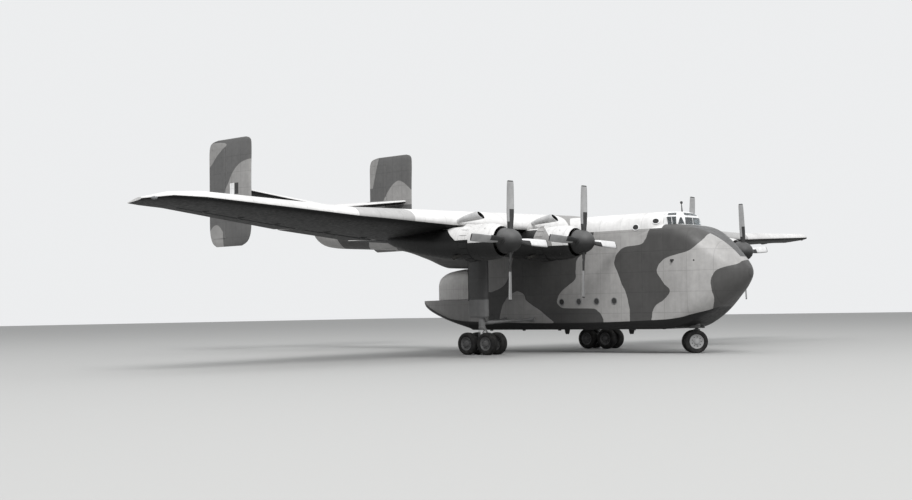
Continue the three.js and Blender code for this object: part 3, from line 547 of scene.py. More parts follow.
def skyLit(name, reach, low, high):
    # painted light: pale where a face looks up to the sky and dark, as painted shade, where it looks down
    p = Paint(name, 0.55)
    up = p.node("SeparateXYZ", {0: p.node("NewGeometry").outputs["Normal"]}).outputs[2]
    colour = p.mix(p.ramp(up, *reach, 0.0, 1.0), low, high)
    shade = p.ramp(p.noise(5.0, 5.0, 0.6), *wear["steps"], 0.86, 1.14)
    worn = p.node("CombineXYZ", {0: shade, 1: shade, 2: shade}).outputs[0]
    p.tree.links.new(p.mix(1.0, colour, worn, "MULTIPLY"), p.shader.inputs["Base Color"])
    p.bump(p.noise(35.0, 3.0), 0.002, 0.35)
    return p.finish


def tyrePaint(name):
    p = Paint(name, 0.85)
    dust = p.ramp(p.noise(9.0, 6.0, 0.65), 0.45, 0.75, 0.0, 1.0)
    p.tree.links.new(p.mix(dust, grey(0.012), grey(0.04, 0.06)), p.shader.inputs["Base Color"])
    p.bump(p.noise(120.0, 2.0), 0.001, 0.5)
    return p.finish


def glassPaint(name, tone, passes=0.92):
    p = Paint(name, 0.06)
    p.shader.inputs["Base Color"].default_value = tone
    p.shader.inputs["Transmission Weight"].default_value = passes
    p.shader.inputs["IOR"].default_value = 1.45
    p.tree.links.new(p.ramp(p.noise(11.0, 4.0), 0.4, 0.7, 0.03, 0.14), p.shader.inputs["Roughness"])
    return p.finish


bodyFinish = bodyPaint("bodyCamouflage")
wingFinish = wingPaint("wingCamouflage")
cowlFinish = cowlPaint("cowlPaint")
finFinish = finPaint("finCamouflage")
doorFinish = doorPaint("rearDoorPaint")
legFinish = legPaint("legFairingPaint")
paleFinish = plainPaint("palePaint", grey(0.68), 0.45)
blackFinish = plainPaint("blackPaint", grey(0.018), 0.5)
intakeFinish = plainPaint("intakePaint", grey(0.4), 0.45)
# near-black: painted shade inside the intake ducts
paintedShade = plainPaint("ductShadePaint", grey(0.004), 0.9)
darkPart = plainPaint("darkFittings", grey(0.03), 0.55, 9.0)
greyPart = plainPaint("greyGearPaint", grey(0.14), 0.45, 8.0, 0.22)
innerGreen = plainPaint("cabinPaint", (0.13, 0.15, 0.125, 1), 0.6, 5.0)
seatCloth = plainPaint("seatCloth", (0.05, 0.052, 0.045, 1), 0.9, 40.0, 0.3)
bladeMetal = skyLit("bladeMetal", (0.0, 0.3), grey(0.24), grey(0.62))
spinnerFinish = skyLit("spinnerPaint", (-0.3, 0.55), grey(0.022), grey(0.085))
steel = plainPaint("polishedSteel", grey(0.6), 0.22, 12.0, 0.1, 0.95)
exhaustMetal = plainPaint("burntExhaust", (0.035, 0.034, 0.032, 1), 0.6, 18.0, 0.4, 0.6)
hubFinish = plainPaint("wheelHubPaint", grey(0.09), 0.42, 10.0, 0.2)
noseHubFinish = plainPaint("noseHubPaint", grey(0.28), 0.42, 10.0, 0.16)
floorPlanks = plainPaint("freightFloorMetal", grey(0.3), 0.45, 7.0, 0.2, 0.5)
rubber = tyrePaint("tyreRubber")
glass = glassPaint("windscreenGlass", (0.5, 0.54, 0.56, 1))
darkGlass = plainPaint("portholeGlass", grey(0.03), 0.1, 3.0)
lampGlass = glassPaint("lampGlass", (0.3, 0.31, 0.32, 1), 0.5)
print("materials")


def finishPiece(name, shape, finishes, body, nodes=(), sharp=38, merge=1e-5):
    if merge:
        bmesh.ops.remove_doubles(shape, verts=shape.verts, dist=merge)
    bmesh.ops.recalc_face_normals(shape, faces=shape.faces)
    limit = math.radians(sharp)
    for face in shape.faces:
        face.smooth = True
    for edge in shape.edges:
        edge.smooth = len(edge.link_faces) == 2 and edge.calc_face_angle(0) < limit
    mesh = bpy.data.meshes.new(name)
    shape.to_mesh(mesh)
    shape.free()
    piece = bpy.data.objects.new(name, mesh)
    bpy.context.collection.objects.link(piece)
    for finish in finishes if isinstance(finishes, list) else [finishes]:
        mesh.materials.append(finish)
    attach(piece, body)
    if nodes:
        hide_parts(*nodes)
    return piece


def addWall(piece, thickness):
    wall = piece.modifiers.new("wall", "SOLIDIFY")
    wall.thickness, wall.offset = thickness * modelScale, -1
    return piece


def smoothRows(rows, steps):
    # more rows through the given ones, on a smooth curve without overshoot
    made = []
    last = len(rows) - 1
    for i in range(last):
        before, start, end, after = rows[max(i - 1, 0)], rows[i], rows[i + 1], rows[min(i + 2, last)]
        for step in range(steps):
            t = step / steps
            row = []
            for a, b, c, d in zip(before, start, end, after):
                away, near = (c - a) / 2, (d - b) / 2
                most = 3 * abs(c - b)
                away = 0 if (c - b) * away <= 0 else max(-most, min(most, away))
                near = 0 if (c - b) * near <= 0 else max(-most, min(most, near))
                row.append(
                    b * (2 * t**3 - 3 * t**2 + 1) + away * (t**3 - 2 * t**2 + t)
                    + c * (3 * t**2 - 2 * t**3) + near * (t**3 - t**2)
                )
            made.append(row)
    made.append(list(rows[-1]))
    return made


def stationAt(stations, at):
    after = next((k for k, row in enumerate(stations) if row[0] >= at - 1e-9), len(stations) - 1)
    after = max(1, after)
    a, b = stations[after - 1], stations[after]
    t = (at - a[0]) / (b[0] - a[0])
    return [p + t * (q - p) for p, q in zip(a, b)]


def paintFaces(corners, finish):
    faces = {face for corner in corners for face in corner.link_faces}
    for face in faces:
        face.material_index = finish
    return faces


def gridSkin(shape, across, along, place, finish=0):
    # a grid bent into a skin: place(i, j) gives each crossing in full-size metres
    made = bmesh.ops.create_grid(shape, x_segments=across, y_segments=along, size=1)["verts"]
    for corner in made:
        i, j = round((corner.co.x + 1) / 2 * across), round((corner.co.y + 1) / 2 * along)
        corner.co = toModel(*place(i, j))
    paintFaces(made, finish)
    return made


def closeRims(shape, corners, finish=0):
    rims = list({edge for corner in corners for edge in corner.link_edges if len(edge.link_faces) == 1})
    made = bmesh.ops.holes_fill(shape, edges=rims, sides=0)["faces"]
    for face in made:
        face.material_index = finish


def loftSkin(shape, rings, finish=0, ends=True):
    count = len(rings[0])
    before = set(shape.verts)
    gridSkin(shape, count, len(rings) - 1, lambda i, j: rings[j][i % count], finish)
    fresh = [corner for corner in shape.verts if corner not in before]
    bmesh.ops.remove_doubles(shape, verts=fresh, dist=1e-6)
    fresh = [corner for corner in shape.verts if corner not in before]
    if ends:
        closeRims(shape, fresh, finish)
    return fresh


def addBar(shape, start, end, radius, endRadius=None, sides=20, finish=0):
    a, b = toModel(*start), toModel(*end)
    turn = (b - a).to_track_quat("Z", "Y").to_matrix().to_4x4()
    turn.translation = (a + b) / 2
    made = bmesh.ops.create_cone(
        shape, cap_ends=True, segments=sides, radius1=radius * modelScale,
        radius2=(radius if endRadius is None else endRadius) * modelScale, depth=(b - a).length, matrix=turn,
    )["verts"]
    paintFaces(made, finish)
    return made


def addBlock(shape, low, high, finish=0, bevel=0.0):
    made = bmesh.ops.create_cube(shape, size=1)["verts"]
    a, b = toModel(*low), toModel(*high)
    for corner in made:
        corner.co = Vector([(a[k] + b[k]) / 2 + corner.co[k] * abs(b[k] - a[k]) for k in range(3)])
    paintFaces(made, finish)
    if bevel:
        edges = list({edge for corner in made for edge in corner.link_edges})
        bmesh.ops.bevel(
            shape, geom=edges, offset=bevel * modelScale, affect="EDGES", segments=2, profile=0.5, material=-1
        )


def addTurned(shape, profile, centre, axis, steps, finish=0):
    # profile is a list of (along the axis, out from it)
    line = Vector(axis).normalized()
    out = line.cross(Vector((0, 0, 1)) if abs(line.z) < 0.9 else Vector((1, 0, 0))).normalized()
    middle = toModel(*centre)
    corners = []
    for along, radius in profile:
        corners.append(shape.verts.new(middle + line * (along * modelScale) + out * (radius * modelScale)))
    edges = [shape.edges.new(pair) for pair in zip(corners, corners[1:])]
    before = set(shape.faces)
    bmesh.ops.spin(
        shape, geom=corners + edges, cent=middle, axis=line, dvec=(0, 0, 0),
        angle=math.tau, steps=steps, use_merge=True, use_duplicate=False,
    )
    for face in shape.faces:
        if face not in before:
            face.material_index = finish


def addRing(shape, centre, axis, radius, tube, steps=28, finish=0):
    angles = [math.tau * k / 8 for k in range(9)]
    profile = [(tube * math.cos(a), radius + tube * math.sin(a)) for a in angles]
    addTurned(shape, profile, centre, axis, steps, finish)


def useFinish(node, finish):
    # a CAD node that keeps its shape gets a better finish
    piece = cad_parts[node]
    if not piece.material_slots:
        piece.data.materials.append(finish)
    for slot in piece.material_slots:
        slot.material = finish


bodyShape = {
    "nose": [
        (0.9, 1.65, 1.12, 5.86, 0.4, 0.5), (2.0, 1.65, 1.13, 5.86, 0.42, 0.5),
        (2.8, 1.64, 1.24, 5.84, 0.5, 0.55), (3.6, 1.57, 1.58, 5.64, 0.72, 0.75),
        (4.25, 1.4, 1.95, 5.3, 0.88, 0.95), (4.85, 1.13, 2.38, 4.84, 0.95, 0.95),
        (5.3, 0.82, 2.79, 4.4, 0.76, 0.76), (5.62, 0.47, 3.16, 4.0, 0.46, 0.38),
        (5.8, 0.16, 3.44, 3.72, 0.15, 0.13), (5.83, 0.02, 3.56, 3.6, 0.018, 0.018),
    ],
    "upperDeck": [
        (0.9, 1.65, 4.9, 6.46, 0.1, 0.74), (1.4, 1.6, 4.9, 6.46, 0.1, 0.72), (2.15, 1.3, 4.9, 6.46, 0.1, 0.5),
    ],
    "hold": [(-9.4, 1.65, 1.12, 6.46, 0.4, 0.74), (0.9, 1.65, 1.12, 6.46, 0.4, 0.74)],
    "boom": [
        (-9.4, 1.65, 4.3, 6.46, 0.1, 0.74), (-11.4, 1.6, 4.34, 6.78, 0.8, 0.78),
        (-13.1, 1.5, 4.85, 7.05, 1.05, 0.85), (-15.2, 1.35, 5.42, 7.38, 0.95, 0.85),
        (-18.2, 1.12, 5.64, 7.84, 0.85, 0.8), (-20.9, 0.9, 5.84, 8.1, 0.75, 0.6),
        (-22.0, 0.7, 6.2, 8.1, 0.6, 0.5), (-22.6, 0.3, 6.9, 7.9, 0.25, 0.25),
    ],
    "proud": 0.012,
    "tipProud": (4.9, 0.04),
    "tipFrom": 5.65,
    "doorDepth": (1.2, 2.0),
    "cabinHole": ((2.18, -0.93, 5.7), (2.76, 0.93, 6.2)),
    "holdSteps": 22,
    "arcSteps": 10,
    "flatSteps": 6,
}


def bodyRing(row, proud=0.0):
    # flat floor, sides and roof with round corners, from the middle of the floor to starboard and round
    x, half, low, high, lowRound, highRound = row
    half, low, high = half + proud, low - proud, high + proud
    lowRound, highRound = lowRound + proud, highRound + proud
    arcs = []
    for y, z, radius, start, end in (
        (lowRound - half, low + lowRound, lowRound, 270, 180),
        (highRound - half, high - highRound, highRound, 180, 90),
        (half - highRound, high - highRound, highRound, 90, 0),
        (half - lowRound, low + lowRound, lowRound, 0, -90),
    ):
        steps = bodyShape["arcSteps"]
        angles = [math.radians(start + (end - start) * k / steps) for k in range(steps + 1)]
        arcs.append([(x, y + radius * math.cos(a), z + radius * math.sin(a)) for a in angles])
    ring = []
    flats = bodyShape["flatSteps"]
    for arc, following in zip(arcs, arcs[1:] + arcs[:1]):
        ring += arc
        a, b = arc[-1], following[0]
        ring += [tuple(a[n] + (b[n] - a[n]) * k / flats for n in range(3)) for k in range(1, flats)]
    return ring


def noseRing(row):
    start, slope = bodyShape["tipProud"]
    return bodyRing(row, bodyShape["proud"] + max(0, row[0] - start) * slope)


def cutHole(shape, low, high):
    # takes the faces between two corners out of a skin, with clean edges
    a, b = toModel(*low), toModel(*high)

    def touches(face):
        places = [corner.co for corner in face.verts]
        return all(min(p[k] for p in places) <= b[k] and max(p[k] for p in places) >= a[k] for k in range(3))

    def within(face):
        middle = face.calc_center_median()
        return all(a[k] - 1e-5 <= middle[k] <= b[k] + 1e-5 for k in range(3))

    for axis in range(3):
        for value in (a[axis], b[axis]):
            normal = Vector([float(k == axis) for k in range(3)])
            point = Vector([value if k == axis else 0 for k in range(3)])
            reach = [face for face in shape.faces if touches(face)]
            geom = list({item for face in reach for item in (face, *face.edges, *face.verts)})
            bmesh.ops.bisect_plane(shape, geom=geom, dist=1e-6, plane_co=point, plane_no=normal)
    bmesh.ops.delete(shape, geom=[face for face in shape.faces if within(face)], context="FACES")


crewDoor = {
    "x": (1.2, 2.05),
    "z": (1.6, 3.4),
    "skin": 1.672,
    "window": (1.62, 2.75),
    "windowRing": (0.13, 0.018),
    "pane": [(-0.01, 0), (0.006, 0), (0.006, 0.115), (-0.01, 0.13)],
    "handle": ((1.3, 1.66, 2.28), (1.52, 1.695, 2.32)),
}


def makeBody():
    proud = bodyShape["proud"]
    nose = bmesh.new()
    loftSkin(nose, [noseRing(row) for row in smoothRows(bodyShape["nose"], 8)], ends=False)
    tip = toModel(bodyShape["tipFrom"], 0, 0).x
    closeRims(nose, [corner for corner in nose.verts if corner.co.x > tip])
    inner, outer = bodyShape["doorDepth"]
    cutHole(nose, (crewDoor["x"][0], inner, crewDoor["z"][0]), (crewDoor["x"][1], outer, crewDoor["z"][1]))
    cutHole(nose, *bodyShape["cabinHole"])
    finishPiece("noseSkin", nose, bodyFinish, "airframe")
    deck = bmesh.new()
    loftSkin(deck, [bodyRing(row, proud) for row in smoothRows(bodyShape["upperDeck"], 6)], ends=False)
    finishPiece("upperDeckSkin", deck, bodyFinish, "airframe")
    hold = bmesh.new()
    rear, front = bodyShape["hold"]
    count = bodyShape["holdSteps"]
    spread = [[a + (b - a) * k / count for a, b in zip(rear, front)] for k in range(count + 1)]
    loftSkin(hold, [bodyRing(row, proud) for row in spread], ends=False)
    finishPiece("holdSkin", hold, bodyFinish, "airframe")
    boom = bmesh.new()
    loftSkin(boom, [bodyRing(row, proud) for row in smoothRows(bodyShape["boom"], 8)])
    finishPiece("boomSkin", boom, bodyFinish, "airframe", ["tail_boom"])


# Round windows of the hold, oval ones of the upper deck, the mast and small fittings, given to port.
fittings = {
    "portholes": {"x": (-3.45, -2.44, -1.41, -0.41), "z": 2.43, "y": 1.662, "radius": 0.15, "rim": 0.022},
    "ovals": [((1.82, 1.44, 6.02), (0.33, 0.9, 0.28)), ((0.87, 1.655, 5.78), (0, 1, 0.1))],
    "ovalSize": (0.17, 0.13),
    "vents": [((2.68, 1.64, 4.18), (2.86, 1.69, 4.25)), ((2.74, 1.66, 4.1), (2.8, 1.74, 4.18))],
    "button": ([(0, 0), (0.02, 0), (0.025, 0.03), (0, 0.05)], (3.82, 1.525, 4.17), (0.25, 1, 0)),
    "drainX": (-8.2, -6.1, -3.9, -1.6, 0.4),
    "drain": (0.09, 1.25, 1.29, 1.06, 1.13),
    "mast": (2.33, 6.45, 6.93),
    "mastLean": 0.03,
    "mastRadii": (0.035, 0.016),
    "mastTop": [(0, 0), (0.02, 0.05), (0.07, 0.065), (0.12, 0.05), (0.14, 0)],
    "mastFoot": [(0, 0), (0, 0.1), (0.03, 0.08), (0.04, 0)],
    "aerialX": (-0.4, -4.2),
    "aerialSweep": 0.2,
    "aerial": [(1.13, 0.36, 0.05), (0.95, 0.28, 0.04), (0.86, 0.2, 0.02)],
}


def onSide(place, side):
    return (place[0], side * place[1], place[2])


def makeFittings():
    window = fittings["portholes"]
    long, high = fittings["ovalSize"]
    for name, side in sides.items():
        shape = bmesh.new()
        for x in window["x"]:
            centre = (x, side * window["y"], window["z"])
            addRing(shape, centre, (0, 1, 0), window["radius"], window["rim"], 32)
            profile = [(-0.01, 0), (0.006, 0), (0.006, window["radius"] - 0.02), (-0.01, window["radius"])]
            addTurned(shape, [(side * a, r) for a, r in profile], centre, (0, 1, 0), 32, 1)
        finishPiece(f"portholes_{name}", shape, [greyPart, darkGlass], "airframe")
        shape = bmesh.new()
        for place, outward in fittings["ovals"]:
            before = set(shape.verts)
            centre, axis = onSide(place, side), onSide(outward, side)
            addRing(shape, centre, axis, high, 0.02, 28)
            addTurned(shape, [(0, 0), (0.012, 0), (0.012, high - 0.01), (0, high)], centre, axis, 28, 1)
            fresh = [corner for corner in shape.verts if corner not in before]
            middle = toModel(*centre)
            bmesh.ops.scale(shape, vec=(long / high, 1, 1), space=Matrix.Translation(-middle), verts=fresh)
        finishPiece(f"deckWindows_{name}", shape, [paleFinish, darkGlass], "airframe")
        vents = bmesh.new()
        for a, b in fittings["vents"]:
            addBlock(vents, onSide(a, side), onSide(b, side), 0, 0.012)
        profile, centre, axis = fittings["button"]
        addTurned(vents, profile, onSide(centre, side), onSide(axis, side), 16)
        half, inner, outer, low, top = fittings["drain"]
        for x in fittings["drainX"]:
            addBlock(vents, (x - half, side * inner, low), (x + half, side * outer, top), 0, 0.01)
        finishPiece(f"bodyVents_{name}", vents, darkPart, "airframe")
    x, low, top = fittings["mast"]
    tip = x - fittings["mastLean"]
    mast = bmesh.new()
    addBar(mast, (x, 0, low), (tip, 0, top - 0.05), *fittings["mastRadii"])
    addTurned(mast, fittings["mastTop"], (tip, 0, top - 0.09), (0, 0, 1), 20)
    addTurned(mast, fittings["mastFoot"], (x, 0, low), (0, 0, 1), 20)
    finishPiece("aerialMast", mast, darkPart, "airframe")
    aerials = bmesh.new()
    angles = [math.tau * k / 16 for k in range(16)]
    sweep = fittings["aerialSweep"]
    for x in fittings["aerialX"]:
        rings = []
        for z, chord, thick in fittings["aerial"]:
            rings.append([(x - sweep + chord / 2 * math.cos(a), thick / 2 * math.sin(a), z) for a in angles])
        loftSkin(aerials, rings)
    finishPiece("bellyAerials", aerials, darkPart, "airframe")


# Glazed cabin roof: outlines from the rear to the middle of the windscreen, level by level.
canopy = {
    "outlines": [
        (5.25, [(2.15, 1.31), (2.22, 1.3), (2.76, 1.08), (2.95, 0.68), (2.98, 0)]),
        (5.83, [(2.15, 1.31), (2.18, 1.27), (2.71, 1.03), (2.88, 0.65), (2.91, 0)]),
        (6.21, [(2.15, 1.25), (2.25, 1.19), (2.64, 0.97), (2.83, 0.6), (2.86, 0)]),
        (6.26, [(2.15, 1.21), (2.22, 1.15), (2.62, 0.93), (2.79, 0.57), (2.82, 0)]),
        (6.41, [(2.15, 1.05), (2.19, 0.96), (2.54, 0.76), (2.66, 0.46), (2.69, 0)]),
        (6.465, [(2.15, 0.88), (2.18, 0.68), (2.44, 0.5), (2.52, 0.3), (2.55, 0)]),
        (6.475, [(2.15, 0), (2.18, 0), (2.34, 0), (2.42, 0), (2.45, 0)]),
    ],
    "panes": [(1, 1, 0.035), (2, 1, 0.04), (3, 1, 0.032), (1, 3, 0.02), (3, 3, 0.02)],
    "triangle": 2,
    "apexShare": 0.25,
    "barred": ((1, 1),),
    "wall": 0.035,
    "glassWall": 0.012,
}


def canopySkin():
    # returns the skin and its pane faces, each set in by the width of its frame
    shape = bmesh.new()
    rows = canopy["outlines"]
    half = len(rows[0][1]) - 1

    def place(i, j):
        z, outline = rows[j]
        x, out = outline[i if i <= half else 2 * half - i]
        return (x, -out if i <= half else out, z)

    gridSkin(shape, 2 * half, len(rows) - 1, place)
    panes = []
    for segment, level, rim in canopy["panes"]:
        for i in (segment, 2 * half - 1 - segment):
            around = [toModel(*place(a, b)) for a in (i, i + 1) for b in (level, level + 1)]
            middle = sum(around, Vector()) / 4
            pane = min(shape.faces, key=lambda face: (face.calc_center_median() - middle).length)
            bmesh.ops.inset_individual(shape, faces=[pane], thickness=rim * modelScale, use_even_offset=True)
            if segment == canopy["triangle"]:
                top = sorted(pane.verts, key=lambda corner: corner.co.z)[2:]
                apex = (top[0].co + top[1].co) / 2
                for corner in top:
                    corner.co = apex + (corner.co - apex) * canopy["apexShare"]
            panes.append((pane, (segment, level) in canopy["barred"]))
    return shape, panes


def makeCanopy():
    shell, panes = canopySkin()
    bars = bmesh.new()
    for pane, barred in panes:
        if barred:
            ordered = sorted(pane.verts, key=lambda corner: corner.co.z)
            ends = [(pair[0].co + pair[1].co) / 2 for pair in (ordered[:2], ordered[2:])]
            places = [(end.x / modelScale + originX, end.y / modelScale, end.z / modelScale) for end in ends]
            addBar(bars, *places, 0.016, sides=10)
    bmesh.ops.delete(shell, geom=[pane for pane, _ in panes], context="FACES")
    made = finishPiece("canopyShell", shell, paleFinish, "airframe", ["canopy_frame"], sharp=12)
    addWall(made, canopy["wall"])
    finishPiece("canopyBars", bars, paleFinish, "airframe")
    panel, panes = canopySkin()
    kept = {pane for pane, _ in panes}
    bmesh.ops.delete(panel, geom=[face for face in panel.faces if face not in kept], context="FACES")
    made = finishPiece("canopyPanes", panel, glass, "airframe", ["canopy_glass"], sharp=12)
    addWall(made, canopy["glassWall"])


# Seat parts are rear, front, the two sides off the middle of the seat, low, high, finish and bevel.
cabin = {
    "seats": {"left": 0.55, "right": -0.55},
    "post": (2.2, 4.725, 5.0, 0.09),
    "seatParts": [
        (1.98, 2.42, -0.2, 0.2, 4.725, 4.765, 1, 0.015), (1.94, 2.48, -0.23, 0.23, 4.99, 5.14, 0, 0.045),
        (1.91, 2.03, -0.22, 0.22, 5.1, 5.68, 0, 0.045), (1.91, 2.0, -0.12, 0.12, 5.7, 5.94, 0, 0.035),
        (1.98, 2.38, 0.21, 0.236, 5.3, 5.36, 1, 0.01), (1.98, 2.38, -0.21, -0.236, 5.3, 5.36, 1, 0.01),
    ],
    "headRods": (1.96, 0.08, 5.6, 5.8, 0.014),
    "dials": [(y, z) for z in (5.24, 5.38) for y in (-0.8, -0.62, -0.44, 0.0, 0.44, 0.62, 0.8)],
    "dialX": (3.115, 3.118),
    "dialRing": (0.055, 0.009),
    "dialFace": [(0, 0), (-0.004, 0), (-0.004, 0.05), (0.002, 0.054)],
    "panel": ((3.12, -0.98, 4.725), (3.28, 0.98, 5.49)),
}


def makeCabin():
    for name, y in cabin["seats"].items():
        seat = bmesh.new()
        x, low, high, radius = cabin["post"]
        addBar(seat, (x, y, low), (x, y, high), radius, finish=1)
        for rear, front, inner, outer, low, high, finish, bevel in cabin["seatParts"]:
            addBlock(seat, (rear, y + inner, low), (front, y + outer, high), finish, bevel)
        x, apart, low, high, radius = cabin["headRods"]
        for sign in (1, -1):
            addBar(seat, (x, y + sign * apart, low), (x, y + sign * apart, high), radius, finish=1)
        finishes = [seatCloth, greyPart]
        finishPiece(f"seat_{name}", seat, finishes, "airframe", [f"pilot_seat_{name}"])
    panel = bmesh.new()
    addBlock(panel, *cabin["panel"], 0, 0.02)
    ringX, faceX = cabin["dialX"]
    for y, z in cabin["dials"]:
        addRing(panel, (ringX, y, z), (1, 0, 0), *cabin["dialRing"], 20, 1)
        addTurned(panel, cabin["dialFace"], (faceX, y, z), (1, 0, 0), 20, 2)
    finishes = [darkPart, greyPart, darkGlass]
    finishPiece("instrumentPanel", panel, finishes, "airframe", ["instrument_panel"])


makeBody()
makeFittings()
makeCanopy()
makeCabin()
for node in ("nose_shell", "hold_shell"):
    useFinish(node, innerGreen)
useFinish("hold_floor", floorPlanks)
useFinish("crew_door", bodyFinish)
print("fuselage")

foils = {
    "cambered": {
        "above": [(0, 0), (0.012, 0.19), (0.05, 0.41), (0.14, 0.61), (0.3, 0.7), (0.5, 0.61), (0.77, 0.31)],
        "below": [(0, 0), (0.012, 0.14), (0.05, 0.24), (0.14, 0.3), (0.3, 0.32), (0.5, 0.28), (0.77, 0.17)],
    },
    "symmetric": {
        "above": [(0, 0), (0.02, 0.19), (0.1, 0.38), (0.3, 0.5), (0.55, 0.38), (0.77, 0.22)],
        "below": [(0, 0), (0.02, 0.19), (0.1, 0.38), (0.3, 0.5), (0.55, 0.38), (0.77, 0.22)],
    },
}
# Stations are (distance out, leading x, trailing x, leading z, trailing z, thickness).
wingShape = {
    "stations": [
        (0, -2.9, -10.1, 5.96, 5.35, 1.3), (9.9, -2.9, -9.4, 5.92, 5.4, 1.02),
        (15.4, -2.96, -7.9, 5.98, 5.62, 0.7), (22.9, -3.12, -5.86, 6.3, 6.08, 0.44),
        (24.0, -3.6, -5.72, 6.34, 6.12, 0.3), (24.68, -4.6, -5.45, 6.26, 6.14, 0.1),
    ],
    "tail": [
        (0, -21.15, -24.45, 8.21, 8.16, 0.42), (6.12, -21.267, -23.721, 8.88, 8.83, 0.274),
        (6.19, -21.268, -23.713, 8.888, 8.838, 0.273),
    ],
    "tailCorner": (5.7, 6.12, -22.95, 2.19),
    "hingeAt": 0.77,
    "edge": 0.025,
    "runGap": 0.02,
    "endGap": 0.045,
    "flaps": [(1.8, 9.7), (10.1, 15.2), (15.65, 22.7)],
    "elevator": (1.05, 5.68),
    "joint": 15.4,
    "tip": 24.68,
    "steps": 9,
    "brackets": (3.2, 5.75, 8.3, 11.2, 13.9, 17.2, 19.4, 21.4),
    "bracketAt": (0.04, 0.73, 0.2, 0.1),
    "bracket": [(0, 0), (0.03, 0.03), (0.15, 0.055), (0.4, 0.05), (0.62, 0.02), (0.66, 0)],
    "lamp": [(-0.12, 0), (-0.09, 0.04), (0, 0.065), (0.09, 0.055), (0.15, 0)],
    "lampAt": ((-4.2, 24.42, 6.26), (1, -0.5, 0)),
}
finShape = {
    "out": 6.3,
    "stations": [
        (5.85, -21.7, -23.9, 0, 0, 0.1), (6.15, -21.15, -24.3, 0, 0, 0.22), (7.0, -20.9, -24.5, 0, 0, 0.3),
        (9.6, -20.88, -24.5, 0, 0, 0.3), (11.0, -20.83, -24.5, 0, 0, 0.25), (11.5, -20.84, -24.42, 0, 0, 0.2),
        (11.7, -20.96, -24.2, 0, 0, 0.14), (11.8, -21.25, -23.7, 0, 0, 0.06),
    ],
    "rudder": (6.306, 11.294),
    "slot": (6.3, 11.3),
    "rudderSteps": (24, 12, 5),
    "hinge": -23.1,
    "nose": 0.1,
}


def foilCurve(points):
    # the nose is a parabola, so the square root of the chord part is what runs evenly
    spread = [(math.sqrt(part), offset) for part, offset in points]
    return [(s * s, offset) for s, offset in smoothRows(spread, wingShape["steps"])]


def foilOutline(foil, thick, cut=None):
    # (part of the chord, offset) from the upper trailing edge round the nose to the lower one
    steps = 4
    half = wingShape["edge"] / 2 / thick
    curves = []
    for key in ("above", "below"):
        curve = foilCurve(foils[foil][key])
        part, offset = curve[-1]
        for k in range(1, steps + 1):
            curve.append((part + (1 - part) * k / steps, offset + (half - offset) * k / steps))
        if cut is not None:
            curve = [(min(part, cut), offset) for part, offset in curve]
        curves.append(curve)
    above = [(part, offset * thick) for part, offset in curves[0]]
    below = [(part, -offset * thick) for part, offset in curves[1]]
    return above[::-1] + below[1:]


def wingPiece(shape, foil, stations, spans, cutAt, place):
    # each span is a closed length of wing; cutAt gives the part of the chord where it stops
    for start, end in spans:
        kinks = sorted({start, end, *[row[0] for row in stations if start < row[0] < end]})
        rings = []
        for a, b in zip(kinks, kinks[1:]):
            count = max(1, round((b - a) / 1.2))
            for k in range(count + (b == kinks[-1])):
                row = stationAt(stations, a + (b - a) * k / count)
                outline = foilOutline(foil, row[5], cutAt(start, end, row))
                rings.append([place(row, part, offset) for part, offset in outline])
        loftSkin(shape, rings)


def placeWing(side):
    def place(row, part, offset):
        out, leadX, trailX, leadZ, trailZ, _ = row
        return (leadX + part * (trailX - leadX), side * out, leadZ + part * (trailZ - leadZ) + offset)
    return place


def cutForHinges(foil, hinged):
    def cutAt(start, end, row):
        if not any(a - 1e-6 <= (start + end) / 2 <= b + 1e-6 for a, b in hinged):
            return None
        radius = (foils[foil]["above"][-1][1] + foils[foil]["below"][-1][1]) / 2 * row[5]
        return wingShape["hingeAt"] - (radius + wingShape["runGap"] * 1.6) / (row[1] - row[2])
    return cutAt


def spansOf(inner, outer, hinged):
    # splits a length of wing at the ends of its hinged surfaces
    gap = wingShape["endGap"]
    marks = sorted({inner, outer, *[m for a, b in hinged for m in (a - gap, b + gap) if inner < m < outer]})
    return list(zip(marks, marks[1:]))


def makeWings():
    flaps, stations = wingShape["flaps"], wingShape["stations"]
    joint, tip = wingShape["joint"], wingShape["tip"]
    centre = bmesh.new()
    for side in sides.values():
        spans = spansOf(0, joint, flaps)
        wingPiece(centre, "cambered", stations, spans, cutForHinges("cambered", flaps), placeWing(side))
    finishPiece("centreWing", centre, wingFinish, "airframe", ["wing_centre"], merge=0)
    for name, side in sides.items():
        outer = bmesh.new()
        spans = spansOf(joint, tip, flaps)
        wingPiece(outer, "cambered", stations, spans, cutForHinges("cambered", flaps), placeWing(side))
        nodes = [f"outer_wing_{name}"]
        finishPiece(f"outerWing_{name}", outer, wingFinish, "airframe", nodes, merge=0)
        brackets = bmesh.new()
        for out in wingShape["brackets"]:
            row = stationAt(stations, out)
            chord = row[1] - row[2]
            ahead, part, drop, tilt = wingShape["bracketAt"]
            x = row[1] - (wingShape["hingeAt"] - ahead) * chord
            z = row[3] + part * (row[4] - row[3]) - drop * row[5]
            addTurned(brackets, wingShape["bracket"], (x, side * out, z), (1, 0, tilt), 16)
        finishPiece(f"hingeFairings_{name}", brackets, blackFinish, "airframe")
        centre, axis = wingShape["lampAt"]
        lamp = bmesh.new()
        addTurned(lamp, wingShape["lamp"], onSide(centre, side), onSide(axis, side), 20)
        finishPiece(f"tipLamp_{name}", lamp, lampGlass, "airframe")
        for node in ("inner_flap", "outer_flap", "aileron", "elevator"):
            useFinish(f"{node}_{name}", wingFinish)


